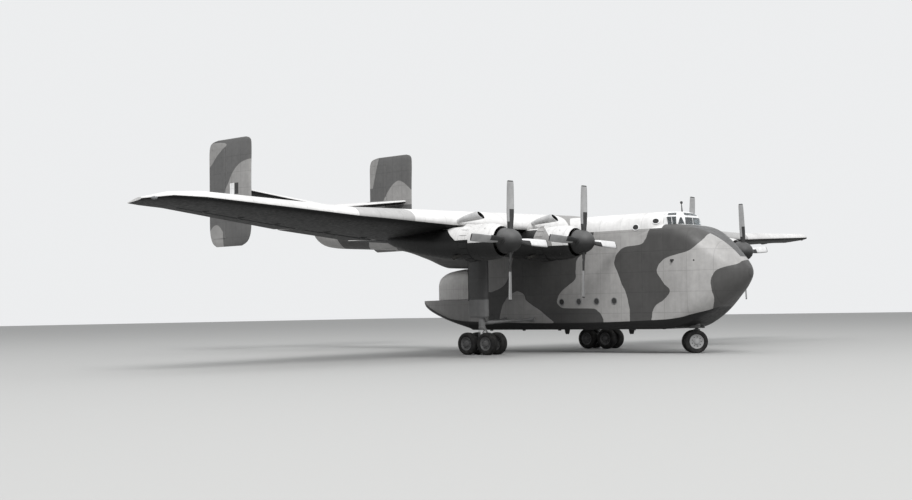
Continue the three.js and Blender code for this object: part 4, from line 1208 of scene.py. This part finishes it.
def makeTail():
    hinged = [wingShape["elevator"]]
    start, end, x, slope = wingShape["tailCorner"]
    hingeCut = cutForHinges("symmetric", hinged)

    def cutAt(inner, outer, row):
        if (inner + outer) / 2 < start:
            return hingeCut(inner, outer, row)
        last = x - max(0, end - row[0]) * slope
        return min(1, (row[1] - last) / (row[1] - row[2]))

    tail = bmesh.new()
    for side in sides.values():
        spans = spansOf(0, wingShape["tail"][-1][0], hinged)
        wingPiece(tail, "symmetric", wingShape["tail"], spans, cutAt, placeWing(side))
    finishPiece("tailplaneSkin", tail, wingFinish, "airframe", ["tailplane"], merge=0)
    stations = smoothRows(finShape["stations"], 5)
    low, high = finShape["slot"]
    hinge, nose = finShape["hinge"], finShape["nose"]
    stop = hinge + nose + wingShape["runGap"]

    def finCut(inner, outer, row):
        return (row[1] - stop) / (row[1] - row[2]) if inner >= low and outer <= high else None

    for name, side in sides.items():
        fin = bmesh.new()
        spans = [(stations[0][0], low), (low, high), (high, stations[-1][0])]
        out = side * finShape["out"]
        wingPiece(fin, "symmetric", stations, spans, finCut,
                  lambda row, part, offset: (row[1] + part * (row[2] - row[1]), out + offset, row[0]))
        finishPiece(f"finSkin_{name}", fin, finFinish, "airframe", [f"fin_{name}"], merge=0)
        rudder = bmesh.new()
        first, last = finShape["rudder"]
        rings = []
        rows, bends, parts = finShape["rudderSteps"]
        angles = [math.radians(90 - 180 * n / bends) for n in range(bends + 1)]
        shares = [n / parts for n in range(1, parts + 1)]
        edge = wingShape["edge"] / 2
        for k in range(rows + 1):
            row = stationAt(stations, first + (last - first) * k / rows)
            ring = [(hinge + nose * math.cos(a), out + nose * math.sin(a), row[0]) for a in angles]
            for way, order in ((-1, shares), (1, shares[::-1])):
                for part in order:
                    away = nose - part * (nose - edge)
                    ring.append((hinge + part * (row[2] - hinge), out + way * away, row[0]))
            rings.append(ring)
        loftSkin(rudder, rings)
        body = f"rudder_{name}"
        finishPiece(f"rudderSkin_{name}", rudder, finFinish, body, [body])


makeWings()
makeTail()
print("wings and tail")

engineShape = {
    "engines": {
        "outer_left": (9.66, 4.98, -4), "inner_left": (4.5, 5.09, 5.2),
        "inner_right": (-4.5, 5.09, 2.3), "outer_right": (-9.66, 4.98, 1.5),
    },
    "nacelle": [
        (-2.15, 0.74, 0.74, 0.74), (-3.2, 0.7, 0.68, 0.7), (-4.4, 0.6, 0.52, 0.75), (-5.6, 0.46, 0.3, 0.75),
        (-6.6, 0.26, 0.02, 0.7), (-7.1, 0.08, -0.18, 0.55),
    ],
    "cowl": [
        (-2.15, 0.7), (-2.15, 0.75), (-1.95, 0.775), (-1.5, 0.782), (-1.1, 0.778), (-0.85, 0.763),
        (-0.66, 0.735), (-0.52, 0.695), (-0.44, 0.655), (-0.42, 0.632), (-0.44, 0.618), (-0.52, 0.612),
        (-0.7, 0.64), (-0.95, 0.685), (-2.15, 0.7),
    ],
    "cowlRing": (-1.3, 0.778, 0.01),
    "latchX": (-0.9, -1.5),
    "latch": (0.76, 0.795),
    "latchRadii": (0.035, 0.025),
    "gills": (18, -1.78, 0.2, 0.79),
    "gillShare": 0.9,
    "gillFlare": 0.018,
    "gillWall": 0.012,
    "intake": [
        (-1.6, 0.165, 1.16), (-1.75, 0.178, 1.15), (-2.0, 0.175, 1.12), (-2.4, 0.15, 1.07),
        (-2.75, 0.105, 1.0), (-3.1, 0.055, 0.93), (-3.35, 0.01, 0.88),
    ],
    "intakeLean": (0.9, 0.4),
    "intakeLip": 0.9,
    "intakeDeep": 0.28,
    "exhaust": [(-2.2, 0.46, 0.5), (-2.72, 0.54, 0.64)],
    "exhaustRadii": (0.07, 0.078),
    "exhaustLip": [(0, 0), (0.012, 0), (0.012, 0.078), (0, 0.09), (-0.03, 0.09), (-0.03, 0.078)],
    "case": [(-2.1, 0), (-2.1, 0.58), (-1.2, 0.58), (-1.0, 0.34), (-0.7, 0.3), (-0.54, 0.24), (-0.54, 0)],
    "cylinders": 9,
    "fins": (7, 0.34, 0.04, 0.12),
    "rowAt": -0.98,
    "finThick": 0.022,
    "barrel": (0.3, 0.62, 0.09),
    "rod": [(-0.74, 0.24), (-0.9, 0.58)],
    "spinner": [
        (-0.38, 0.0), (-0.38, 0.48), (-0.37, 0.515), (-0.33, 0.535), (-0.26, 0.542), (-0.12, 0.532),
        (0.02, 0.51), (0.16, 0.465), (0.28, 0.4), (0.38, 0.315), (0.45, 0.22), (0.49, 0.11), (0.5, 0.0),
    ],
    "blade": [
        (0.35, 0.2, 0.18, 50), (0.7, 0.27, 0.12, 38), (1.2, 0.34, 0.075, 27), (1.8, 0.35, 0.05, 21),
        (2.35, 0.34, 0.035, 17), (2.48, 0.31, 0.028, 16), (2.515, 0.24, 0.02, 16),
    ],
    "shaft": (-0.52, -0.3, 0.1),
    "spinnerRing": (0.536, 0.008),
    "collar": (0.44, 0.57, 0.13, 0.115),
    "bladeSides": 20,
    "bladeNose": 0.35,
    "cuffEnd": 0.78,
    "tipStart": 2.47,
    "boot": (1.3, 0.012, 0.02),
}


def bladeRings(y, z, turn):
    rings = []
    sidesOf = engineShape["bladeSides"]
    for radius, chord, thick, pitch in smoothRows(engineShape["blade"], 5):
        lean = math.radians(pitch)
        ring = []
        for k in range(sidesOf):
            angle = math.tau * k / sidesOf
            along = chord / 2 * math.cos(angle)
            across = thick / 2 * math.sin(angle) * (1 + engineShape["bladeNose"] * math.cos(angle))
            forward = along * math.sin(lean) + across * math.cos(lean)
            aside = along * math.cos(lean) - across * math.sin(lean)
            ring.append((
                forward, y + radius * math.sin(turn) + aside * math.cos(turn),
                z + radius * math.cos(turn) - aside * math.sin(turn),
            ))
        rings.append(ring)
    return rings


def paintBlade(faces, y, z, turn):
    # dark cuff at the root, a rubber boot along the inner leading edge and a dark tip
    out = Vector((0, math.sin(turn), math.cos(turn)))
    hub = toModel(0, y, z)
    bootEnd, bootEdge, bootSlope = engineShape["boot"]
    for face in faces:
        middle = face.calc_center_median() - hub
        radius = middle.dot(out) / modelScale
        forward = middle.x / modelScale
        boot = radius < bootEnd and forward > bootEdge + bootSlope * (bootEnd - radius)
        ends = radius < engineShape["cuffEnd"] or radius > engineShape["tipStart"]
        face.material_index = 2 if boot or ends else 1


def makePropeller(name, y, z, parked):
    shape = bmesh.new()
    addTurned(shape, engineShape["spinner"], (0, y, z), (1, 0, 0), 48)
    rear, front, radius = engineShape["shaft"]
    addBar(shape, (rear, y, z), (front, y, z), radius, finish=2)
    addRing(shape, (front, y, z), (1, 0, 0), *engineShape["spinnerRing"], 48)
    for quarter in range(4):
        turn = math.radians(parked + 90 * quarter)
        before = set(shape.faces)
        loftSkin(shape, bladeRings(y, z, turn))
        paintBlade([face for face in shape.faces if face not in before], y, z, turn)
        # collar where the blade leaves the spinner
        *reach, root, tip = engineShape["collar"]
        low, high = [(0, y + r * math.sin(turn), z + r * math.cos(turn)) for r in reach]
        addBar(shape, low, high, root, tip, 20, 2)
    finishPiece(f"propeller_{name}_blades", shape, [spinnerFinish, bladeMetal, darkPart], f"propeller_{name}",
                [f"propeller_{name}"], merge=0)


def makeCowl(name, y, z):
    cowl = bmesh.new()
    addTurned(cowl, engineShape["cowl"], (0, y, z), (1, 0, 0), 64)
    ringX, *ring = engineShape["cowlRing"]
    addRing(cowl, (ringX, y, z), (1, 0, 0), *ring, 64)
    for k in range(4):
        # latches on the joins of the cowl panels
        angle = math.radians(45 + 90 * k)
        across, up = math.cos(angle), math.sin(angle)
        for x in engineShape["latchX"]:
            ends = [(x, y + out * across, z + out * up) for out in engineShape["latch"]]
            addBar(cowl, *ends, *engineShape["latchRadii"], 12)
    finishPiece(f"cowl_{name}_ring", cowl, cowlFinish, "airframe", [f"cowl_{name}"])
    gills = bmesh.new()
    count, start, step, radius = engineShape["gills"]
    for k in range(count):
        middle = math.tau * (k + 0.5) / count
        half = math.pi / count * engineShape["gillShare"]

        def place(i, j):
            angle, out = middle - half + i * half / 3, radius + engineShape["gillFlare"] * j
            return (start - step * j, y + out * math.cos(angle), z + out * math.sin(angle))

        gridSkin(gills, 6, 2, place)
    addWall(finishPiece(f"cowl_{name}_gills", gills, cowlFinish, "airframe"), engineShape["gillWall"])


def makeNacelle(name, y, z):
    body = bmesh.new()
    rings = []
    angles = [math.tau * k / 48 for k in range(48)]
    for x, half, below, above in smoothRows(engineShape["nacelle"], 5):
        middle, tall = z + (above - below) / 2, (above + below) / 2
        rings.append([(x, y + half * math.cos(a), middle + tall * math.sin(a)) for a in angles])
    loftSkin(body, rings)
    finishPiece(f"nacelle_{name}_body", body, cowlFinish, "airframe", [f"nacelle_{name}"])
    intake = bmesh.new()
    lean, reach = engineShape["intakeLean"]
    front, _, rise = engineShape["intake"][0]
    angles = [math.tau * k / 28 for k in range(28)]
    rings = []
    for x, radius, height in smoothRows(engineShape["intake"], 4):
        slant = lean * max(0, 1 - (front - x) / reach)
        ring = []
        for a in angles:
            up = radius * math.sin(a)
            ring.append((x - up * slant, y + radius * math.cos(a), z + height + up))
        rings.append(ring)
    lip, deep = engineShape["intakeLip"], engineShape["intakeDeep"]
    mouth = [(x + 0.01, y + lip * (b - y), z + rise + lip * (c - z - rise)) for x, b, c in rings[0]]
    rings = [[(x - deep, b, c - deep / 8) for x, b, c in mouth], mouth, *rings]
    loftSkin(intake, rings[1:], ends=False)
    # the duct lining and its closing wall are near-black: painted shade inside the intake
    before = set(intake.faces)
    loftSkin(intake, rings[:2], ends=False)
    for face in intake.faces:
        if face not in before:
            face.material_index = 1
    bmesh.ops.remove_doubles(intake, verts=intake.verts, dist=1e-5)
    closeRims(intake, intake.verts, 1)
    finishPiece(f"intake_{name}", intake, [intakeFinish, paintedShade], "airframe")
    pipes = bmesh.new()
    for sign in (1, -1):
        start, end = [(x, y + sign * out, z - drop) for x, out, drop in engineShape["exhaust"]]
        addBar(pipes, start, end, *engineShape["exhaustRadii"], 20)
        way = [b - a for a, b in zip(start, end)]
        addTurned(pipes, engineShape["exhaustLip"], end, way, 20)
    finishPiece(f"exhaust_{name}", pipes, exhaustMetal, "airframe")


def makeEngine(name, y, z):
    radial = bmesh.new()
    addTurned(radial, engineShape["case"], (0, y, z), (1, 0, 0), 32)
    x = engineShape["rowAt"]
    count, inner, step, finRadius = engineShape["fins"]
    for k in range(engineShape["cylinders"]):
        angle = math.tau * k / engineShape["cylinders"]
        across, up = math.cos(angle), math.sin(angle)

        def along(out):
            return (x, y + out * across, z + out * up)

        for ring in range(count):
            out = inner + ring * step
            addBar(radial, along(out), along(out + engineShape["finThick"]), finRadius, sides=14)
        foot, head, radius = engineShape["barrel"]
        addBar(radial, along(foot), along(head), radius, sides=14)
        ends = [(at, y + out * across, z + out * up) for at, out in engineShape["rod"]]
        addBar(radial, *ends, 0.018, sides=8)
    finishPiece(f"engine_{name}_radial", radial, exhaustMetal, "airframe", [f"engine_{name}"])


for name, (y, z, parked) in engineShape["engines"].items():
    makeCowl(name, y, z)
    makeNacelle(name, y, z)
    makeEngine(name, y, z)
    makePropeller(name, y, z, parked)
print("engines and propellers")

# Rear doors: half an ellipse in plan, drawn in at the top. Ramp: rows like those of the body.
doorShape = {
    "hingeX": -9.42,
    "length": 3.178,
    "half": 1.64,
    "split": 0.012,
    "levels": [(2.67, 1), (3.05, 1), (3.4, 1), (3.72, 0.97), (3.96, 0.88), (4.13, 0.74), (4.25, 0.5)],
    "ribs": 26,
    "ribDepth": 0.014,
    "ribTop": 3.62,
    "ribFade": 0.25,
    "across": 156,
    "wall": 0.05,
    "stiffeners": (2.8, 3.2, 3.6),
    "stiffener": ((0.04, -0.03), (0.12, -0.03), (0.12, 0.03), (0.04, 0.03)),
    "stiffenerSteps": 24,
    "hinges": ((2.9, 3.45), (-9.6, -9.44), 1.53, 0.05, 0.09),
    "ramp": [
        (-13.8, 0.2, 2.615, 2.65, 0.015, 0.01), (-13.55, 0.48, 2.46, 2.65, 0.08, 0.012),
        (-13.05, 0.88, 2.22, 2.65, 0.2, 0.015), (-12.2, 1.29, 1.92, 2.65, 0.32, 0.02),
        (-11.0, 1.56, 1.55, 2.65, 0.4, 0.02), (-9.42, 1.64, 1.14, 2.65, 0.4, 0.02),
    ],
    "treads": (-9.8, -12.4, 11),
    "treadHalf": (1.3, 0.85, -11.4),
    "treadSize": (0.03, 2.64, 2.662),
}


def doorRadius(z, angle):
    fade = max(0.0, min(1.0, (doorShape["ribTop"] - z) / doorShape["ribFade"]))
    wave = (1 - math.cos(angle * 4 * doorShape["ribs"])) / 2
    return 1 - fade * doorShape["ribDepth"] * wave / doorShape["half"]


def makeDoors():
    for name, side in sides.items():
        door = bmesh.new()
        levels = smoothRows(doorShape["levels"], 3)
        across = doorShape["across"]

        def place(i, j, draw=0.0):
            z, part = levels[j]
            angle = math.pi / 2 * i / across
            size = part * doorRadius(z, angle) - draw
            x = doorShape["hingeX"] - doorShape["length"] * size * math.sin(angle)
            return (x, side * max(doorShape["split"], doorShape["half"] * size * math.cos(angle)), z)

        gridSkin(door, across, len(levels) - 1, place)
        body = f"rear_door_{name}"
        addWall(finishPiece(f"rearDoor_{name}", door, doorFinish, body, [body]), doorShape["wall"])
        frames = bmesh.new()
        for height in doorShape["stiffeners"]:
            rings = []
            steps = doorShape["stiffenerSteps"]
            for k in range(1, steps):
                angle = math.pi / 2 * k / steps
                c, s = math.cos(angle), math.sin(angle)
                ring = []
                for inward, up in doorShape["stiffener"]:
                    x = doorShape["hingeX"] - (doorShape["length"] - inward) * s
                    ring.append((x, side * max(0.03, (doorShape["half"] - inward) * c), height + up))
                rings.append(ring)
            loftSkin(frames, rings)
        heights, (rear, front), out, thick, tall = doorShape["hinges"]
        y = side * out
        for z in heights:
            addBlock(frames, (rear, y - thick, z - tall), (front, y + thick, z + tall), 0, 0.015)
        finishPiece(f"rearDoorFrames_{name}", frames, innerGreen, body)
    ramp = bmesh.new()
    loftSkin(ramp, [bodyRing(row) for row in smoothRows(doorShape["ramp"], 6)])
    finishPiece("rampSkin", ramp, doorFinish, "tail_ramp", ["tail_ramp"])
    treads = bmesh.new()
    start, end, count = doorShape["treads"]
    wide, narrow, narrowFrom = doorShape["treadHalf"]
    long, low, high = doorShape["treadSize"]
    for k in range(count):
        x = start + (end - start) * k / (count - 1)
        half = wide if x > narrowFrom else narrow
        addBlock(treads, (x - long, -half, low), (x + long, half, high), 0, 0.006)
    finishPiece("rampTreads", treads, floorPlanks, "tail_ramp")


def makeCrewDoor():
    trim = bmesh.new()
    x, z = crewDoor["window"]
    centre = (x, crewDoor["skin"], z)
    addRing(trim, centre, (0, 1, 0), *crewDoor["windowRing"], 28)
    addTurned(trim, crewDoor["pane"], centre, (0, 1, 0), 28, 1)
    addBlock(trim, *crewDoor["handle"], 0, 0.008)
    finishPiece("crewDoorTrim", trim, [greyPart, darkGlass], "crew_door")


makeDoors()
makeCrewDoor()
print("doors and ramp")

gearShape = {
    "track": 4.8,
    "legX": -5.8,
    "fairingLead": -5.4,
    "chord": 1.18,
    "thick": 0.4,
    "thickest": 0.4,
    "fairing": [(1.75, 0.9), (1.79, 0.985), (1.84, 1.0), (4.98, 1.0)],
    "outer": [
        (1.95, 0), (1.95, 0.15), (1.34, 0.15), (1.32, 0.17), (1.24, 0.17), (1.22, 0.15), (1.17, 0.15),
        (1.15, 0),
    ],
    "piston": [(1.25, 0), (1.25, 0.11), (0.66, 0.11), (0.66, 0)],
    "foot": [(0.84, 0), (0.84, 0.13), (0.8, 0.15), (0.6, 0.15), (0.55, 0.12), (0.55, 0)],
    "axles": {"front": -5.2, "rear": -6.4},
    "beam": (0.11, 0.09, 0.42, 0.64),
    "boss": [
        (-0.15, 0.06), (-0.15, 0.12), (-0.13, 0.135), (0.13, 0.135), (0.15, 0.12), (0.15, 0.06),
        (-0.15, 0.06),
    ],
    # bars on both sides of a main leg, from its middle: folding links, then the brake pipes
    "legBars": [
        ((0.13, 0.07, 1.27), (0.36, 0.02, 0.98), 0.026, 12),
        ((0.36, 0.02, 0.98), (0.13, 0.07, 0.72), 0.026, 12),
        ((-0.165, 0.04, 1.8), (-0.165, 0.04, 1.2), 0.014, 10),
        ((-0.165, 0.04, 1.2), (-0.13, 0.1, 0.62), 0.014, 10),
    ],
    "linkPin": (0.36, 0.05, 0.98, 0.034),
    # struts from a leg to the side of the body: spread along the body, and how far back their middle lies
    "strut": {"spread": 0.9, "back": 0.3, "leg": (4.68, 1.5), "body": (1.66, 1.62), "radius": 0.07},
    "sleeve": ((-0.02, 0.05, 4.72, 1.5), (0, 0.16, 4.2, 1.52), 0.09),
    "strutFoot": (0.12, 1.64, 1.76, 1.5, 1.74),
    "axleRadius": 0.048,
    "axleZ": 0.53,
    "radius": 0.53,
    "mainWidth": 0.37,
    "mainOverall": 1.07,
    "noseWidth": 0.3,
    "noseOverall": 0.84,
    "noseX": 2.95,
    "trail": 0.1,
    "parked": 45,
    "housing": [
        (1.375, 0.1), (1.375, 0.165), (1.2, 0.165), (1.18, 0.175), (1.13, 0.175), (1.125, 0.1), (1.375, 0.1),
    ],
    "housingPlate": (0.3, 0.2, 0.03, 1.13, 1.27),
    "yoke": [
        (1.19, 0), (1.19, 0.085), (1.1, 0.085), (1.09, 0.15), (1.0, 0.15), (0.98, 0.13), (0.9, 0.13),
        (0.9, 0),
    ],
    "yokeBlock": (-0.19, 0.1, 0.075, 0.6, 1.04),
    "noseBoss": [(-0.1, 0.06), (-0.1, 0.11), (0.1, 0.11), (0.1, 0.06), (-0.1, 0.06)],
    "towBars": [
        ((0.07, -0.06), (0.19, -0.06), 0.02), ((0.07, 0.06), (0.19, 0.06), 0.02),
        ((0.18, -0.09), (0.18, 0.09), 0.026),
    ],
    "towZ": 0.97,
}
# Shares of the half width and of the radius.
wheelShape = {
    "tyre": [
        (0.62, 0.6), (0.86, 0.63), (0.98, 0.7), (1.0, 0.79), (0.95, 0.88), (0.84, 0.945), (0.64, 0.983),
        (0.6, 0.985), (0.57, 0.965), (0.48, 0.965), (0.45, 0.992), (0.08, 1.0), (0.05, 0.975),
    ],
    "hub": [
        (0.6, 0.62), (0.74, 0.62), (0.8, 0.6), (0.76, 0.57), (0.5, 0.5), (0.42, 0.34), (0.5, 0.27),
        (0.78, 0.22), (0.86, 0.12), (0.86, 0.0),
    ],
    "steps": 48,
    "bolts": 9,
    "boltAt": 0.4,
    "bolt": (0.4, 0.58, 0.022),
}


def addWheel(shape, centre, width, radius):
    # axle along y; finish 0 tyre, 1 hub, 2 bolts
    half = width / 2
    tyre = [(a * half, r * radius) for a, r in wheelShape["tyre"]]
    tyre = tyre + [(-a, r) for a, r in tyre[::-1]] + tyre[:1]
    addTurned(shape, tyre, centre, (0, 1, 0), wheelShape["steps"], 0)
    hub = [(a * half, r * radius) for a, r in wheelShape["hub"]]
    addTurned(shape, hub[::-1] + [(-a, r) for a, r in hub], centre, (0, 1, 0), wheelShape["steps"], 1)
    x, y, z = centre
    for k in range(wheelShape["bolts"]):
        angle = math.tau * k / wheelShape["bolts"]
        across = wheelShape["boltAt"] * radius * math.cos(angle)
        up = wheelShape["boltAt"] * radius * math.sin(angle)
        foot, head, thick = wheelShape["bolt"]
        for sign in (1, -1):
            ends = [(x + across, y + sign * half * part, z + up) for part in (foot, head)]
            addBar(shape, *ends, thick, sides=6, finish=2)


def addAxle(shape, x, y, apart):
    z = gearShape["axleZ"]
    addBar(shape, (x, y - apart, z), (x, y + apart, z), gearShape["axleRadius"], finish=1)


def makeMainGear(name, side):
    y, x = side * gearShape["track"], gearShape["legX"]
    leg = bmesh.new()
    outline = foilOutline("symmetric", gearShape["thick"])
    rings = []
    for z, size in gearShape["fairing"]:
        middle = gearShape["fairingLead"] - gearShape["chord"] * gearShape["thickest"]
        ring = []
        for part, offset in outline:
            place = gearShape["fairingLead"] - part * gearShape["chord"]
            ring.append((middle + (place - middle) * size, y + offset * size, z))
        rings.append(ring)
    loftSkin(leg, rings)
    finishPiece(f"legFairing_{name}", leg, legFinish, "airframe", merge=0)
    oleo = bmesh.new()
    for key, finish in (("outer", 0), ("piston", 1), ("foot", 0)):
        addTurned(oleo, gearShape[key], (x, y, 0), (0, 0, 1), 28, finish)
    rear, front = gearShape["axles"]["rear"], gearShape["axles"]["front"]
    clear, half, low, high = gearShape["beam"]
    addBlock(oleo, (rear + clear, y - half, low), (front - clear, y + half, high), 0, 0.04)
    for axle in (front, rear):
        addTurned(oleo, gearShape["boss"], (axle, y, gearShape["axleZ"]), (0, 1, 0), 28)
    strut = gearShape["strut"]
    for sign in (1, -1):
        for start, end, radius, count in gearShape["legBars"]:
            ends = [(x + along, y + sign * out, up) for along, out, up in (start, end)]
            addBar(oleo, *ends, radius, sides=count)
        foot = x + sign * strut["spread"] - strut["back"]
        legY, legZ = strut["leg"]
        bodyY, bodyZ = strut["body"]
        addBar(oleo, (x, side * legY, legZ), (foot, side * bodyY, bodyZ), strut["radius"])
        *rows, radius = gearShape["sleeve"]
        addBar(oleo, *[(x + along + sign * apart, side * out, up) for along, apart, out, up in rows], radius)
        long, inner, outer, low, high = gearShape["strutFoot"]
        addBlock(oleo, (foot - long, side * inner, low), (foot + long, side * outer, high), 0, 0.03)
    along, half, up, radius = gearShape["linkPin"]
    addBar(oleo, (x + along, y - half, up), (x + along, y + half, up), radius, sides=16, finish=1)
    finishPiece(f"mainLeg_{name}", oleo, [greyPart, steel], "airframe", [f"main_leg_{name}"])
    width = gearShape["mainWidth"]
    apart = (gearShape["mainOverall"] - width) / 2
    for key, axle in gearShape["axles"].items():
        pair = bmesh.new()
        for sign in (1, -1):
            addWheel(pair, (axle, y + sign * apart, gearShape["axleZ"]), width, gearShape["radius"])
        addAxle(pair, axle, y, apart)
        body = f"{key}_wheels_{name}"
        finishPiece(f"{key}Wheels_{name}", pair, [rubber, hubFinish, darkPart], body, [body])


def makeNoseGear():
    x = gearShape["noseX"]
    housing = bmesh.new()
    addTurned(housing, gearShape["housing"], (x, 0, 0), (0, 0, 1), 32)
    long, out, half, low, high = gearShape["housingPlate"]
    for sign in (1, -1):
        addBlock(housing, (x - long, sign * out - half, low), (x + long, sign * out + half, high), 0, 0.015)
    finishPiece("noseHousing", housing, greyPart, "airframe", ["nose_leg"])
    turn = Matrix.Rotation(math.radians(gearShape["parked"]), 3, "Z")
    yoke = bmesh.new()
    addTurned(yoke, gearShape["yoke"], (x, 0, 0), (0, 0, 1), 32)
    rear, front, half, low, high = gearShape["yokeBlock"]
    addBlock(yoke, (x + rear, -half, low), (x + front, half, high), 0, 0.03)
    axleX = x - gearShape["trail"]
    addTurned(yoke, gearShape["noseBoss"], (axleX, 0, gearShape["axleZ"]), (0, 1, 0), 28)
    for start, end, radius in gearShape["towBars"]:
        ends = [(x + along, y, gearShape["towZ"]) for along, y in (start, end)]
        addBar(yoke, *ends, radius, sides=12, finish=1)
    wheels = bmesh.new()
    width = gearShape["noseWidth"]
    apart = (gearShape["noseOverall"] - width) / 2
    for sign in (1, -1):
        addWheel(wheels, (axleX, sign * apart, gearShape["axleZ"]), width, gearShape["radius"])
    addAxle(wheels, axleX, 0, apart)
    for shape in (yoke, wheels):
        bmesh.ops.rotate(shape, cent=toModel(x, 0, 0), matrix=turn, verts=shape.verts)
    finishPiece("noseYoke", yoke, [greyPart, steel], "nose_strut", ["nose_yoke"])
    finishes = [rubber, noseHubFinish, darkPart]
    finishPiece("noseWheels", wheels, finishes, "nose_wheels", ["nose_wheels"])


for name, side in sides.items():
    makeMainGear(name, side)
makeNoseGear()
print("landing gear")
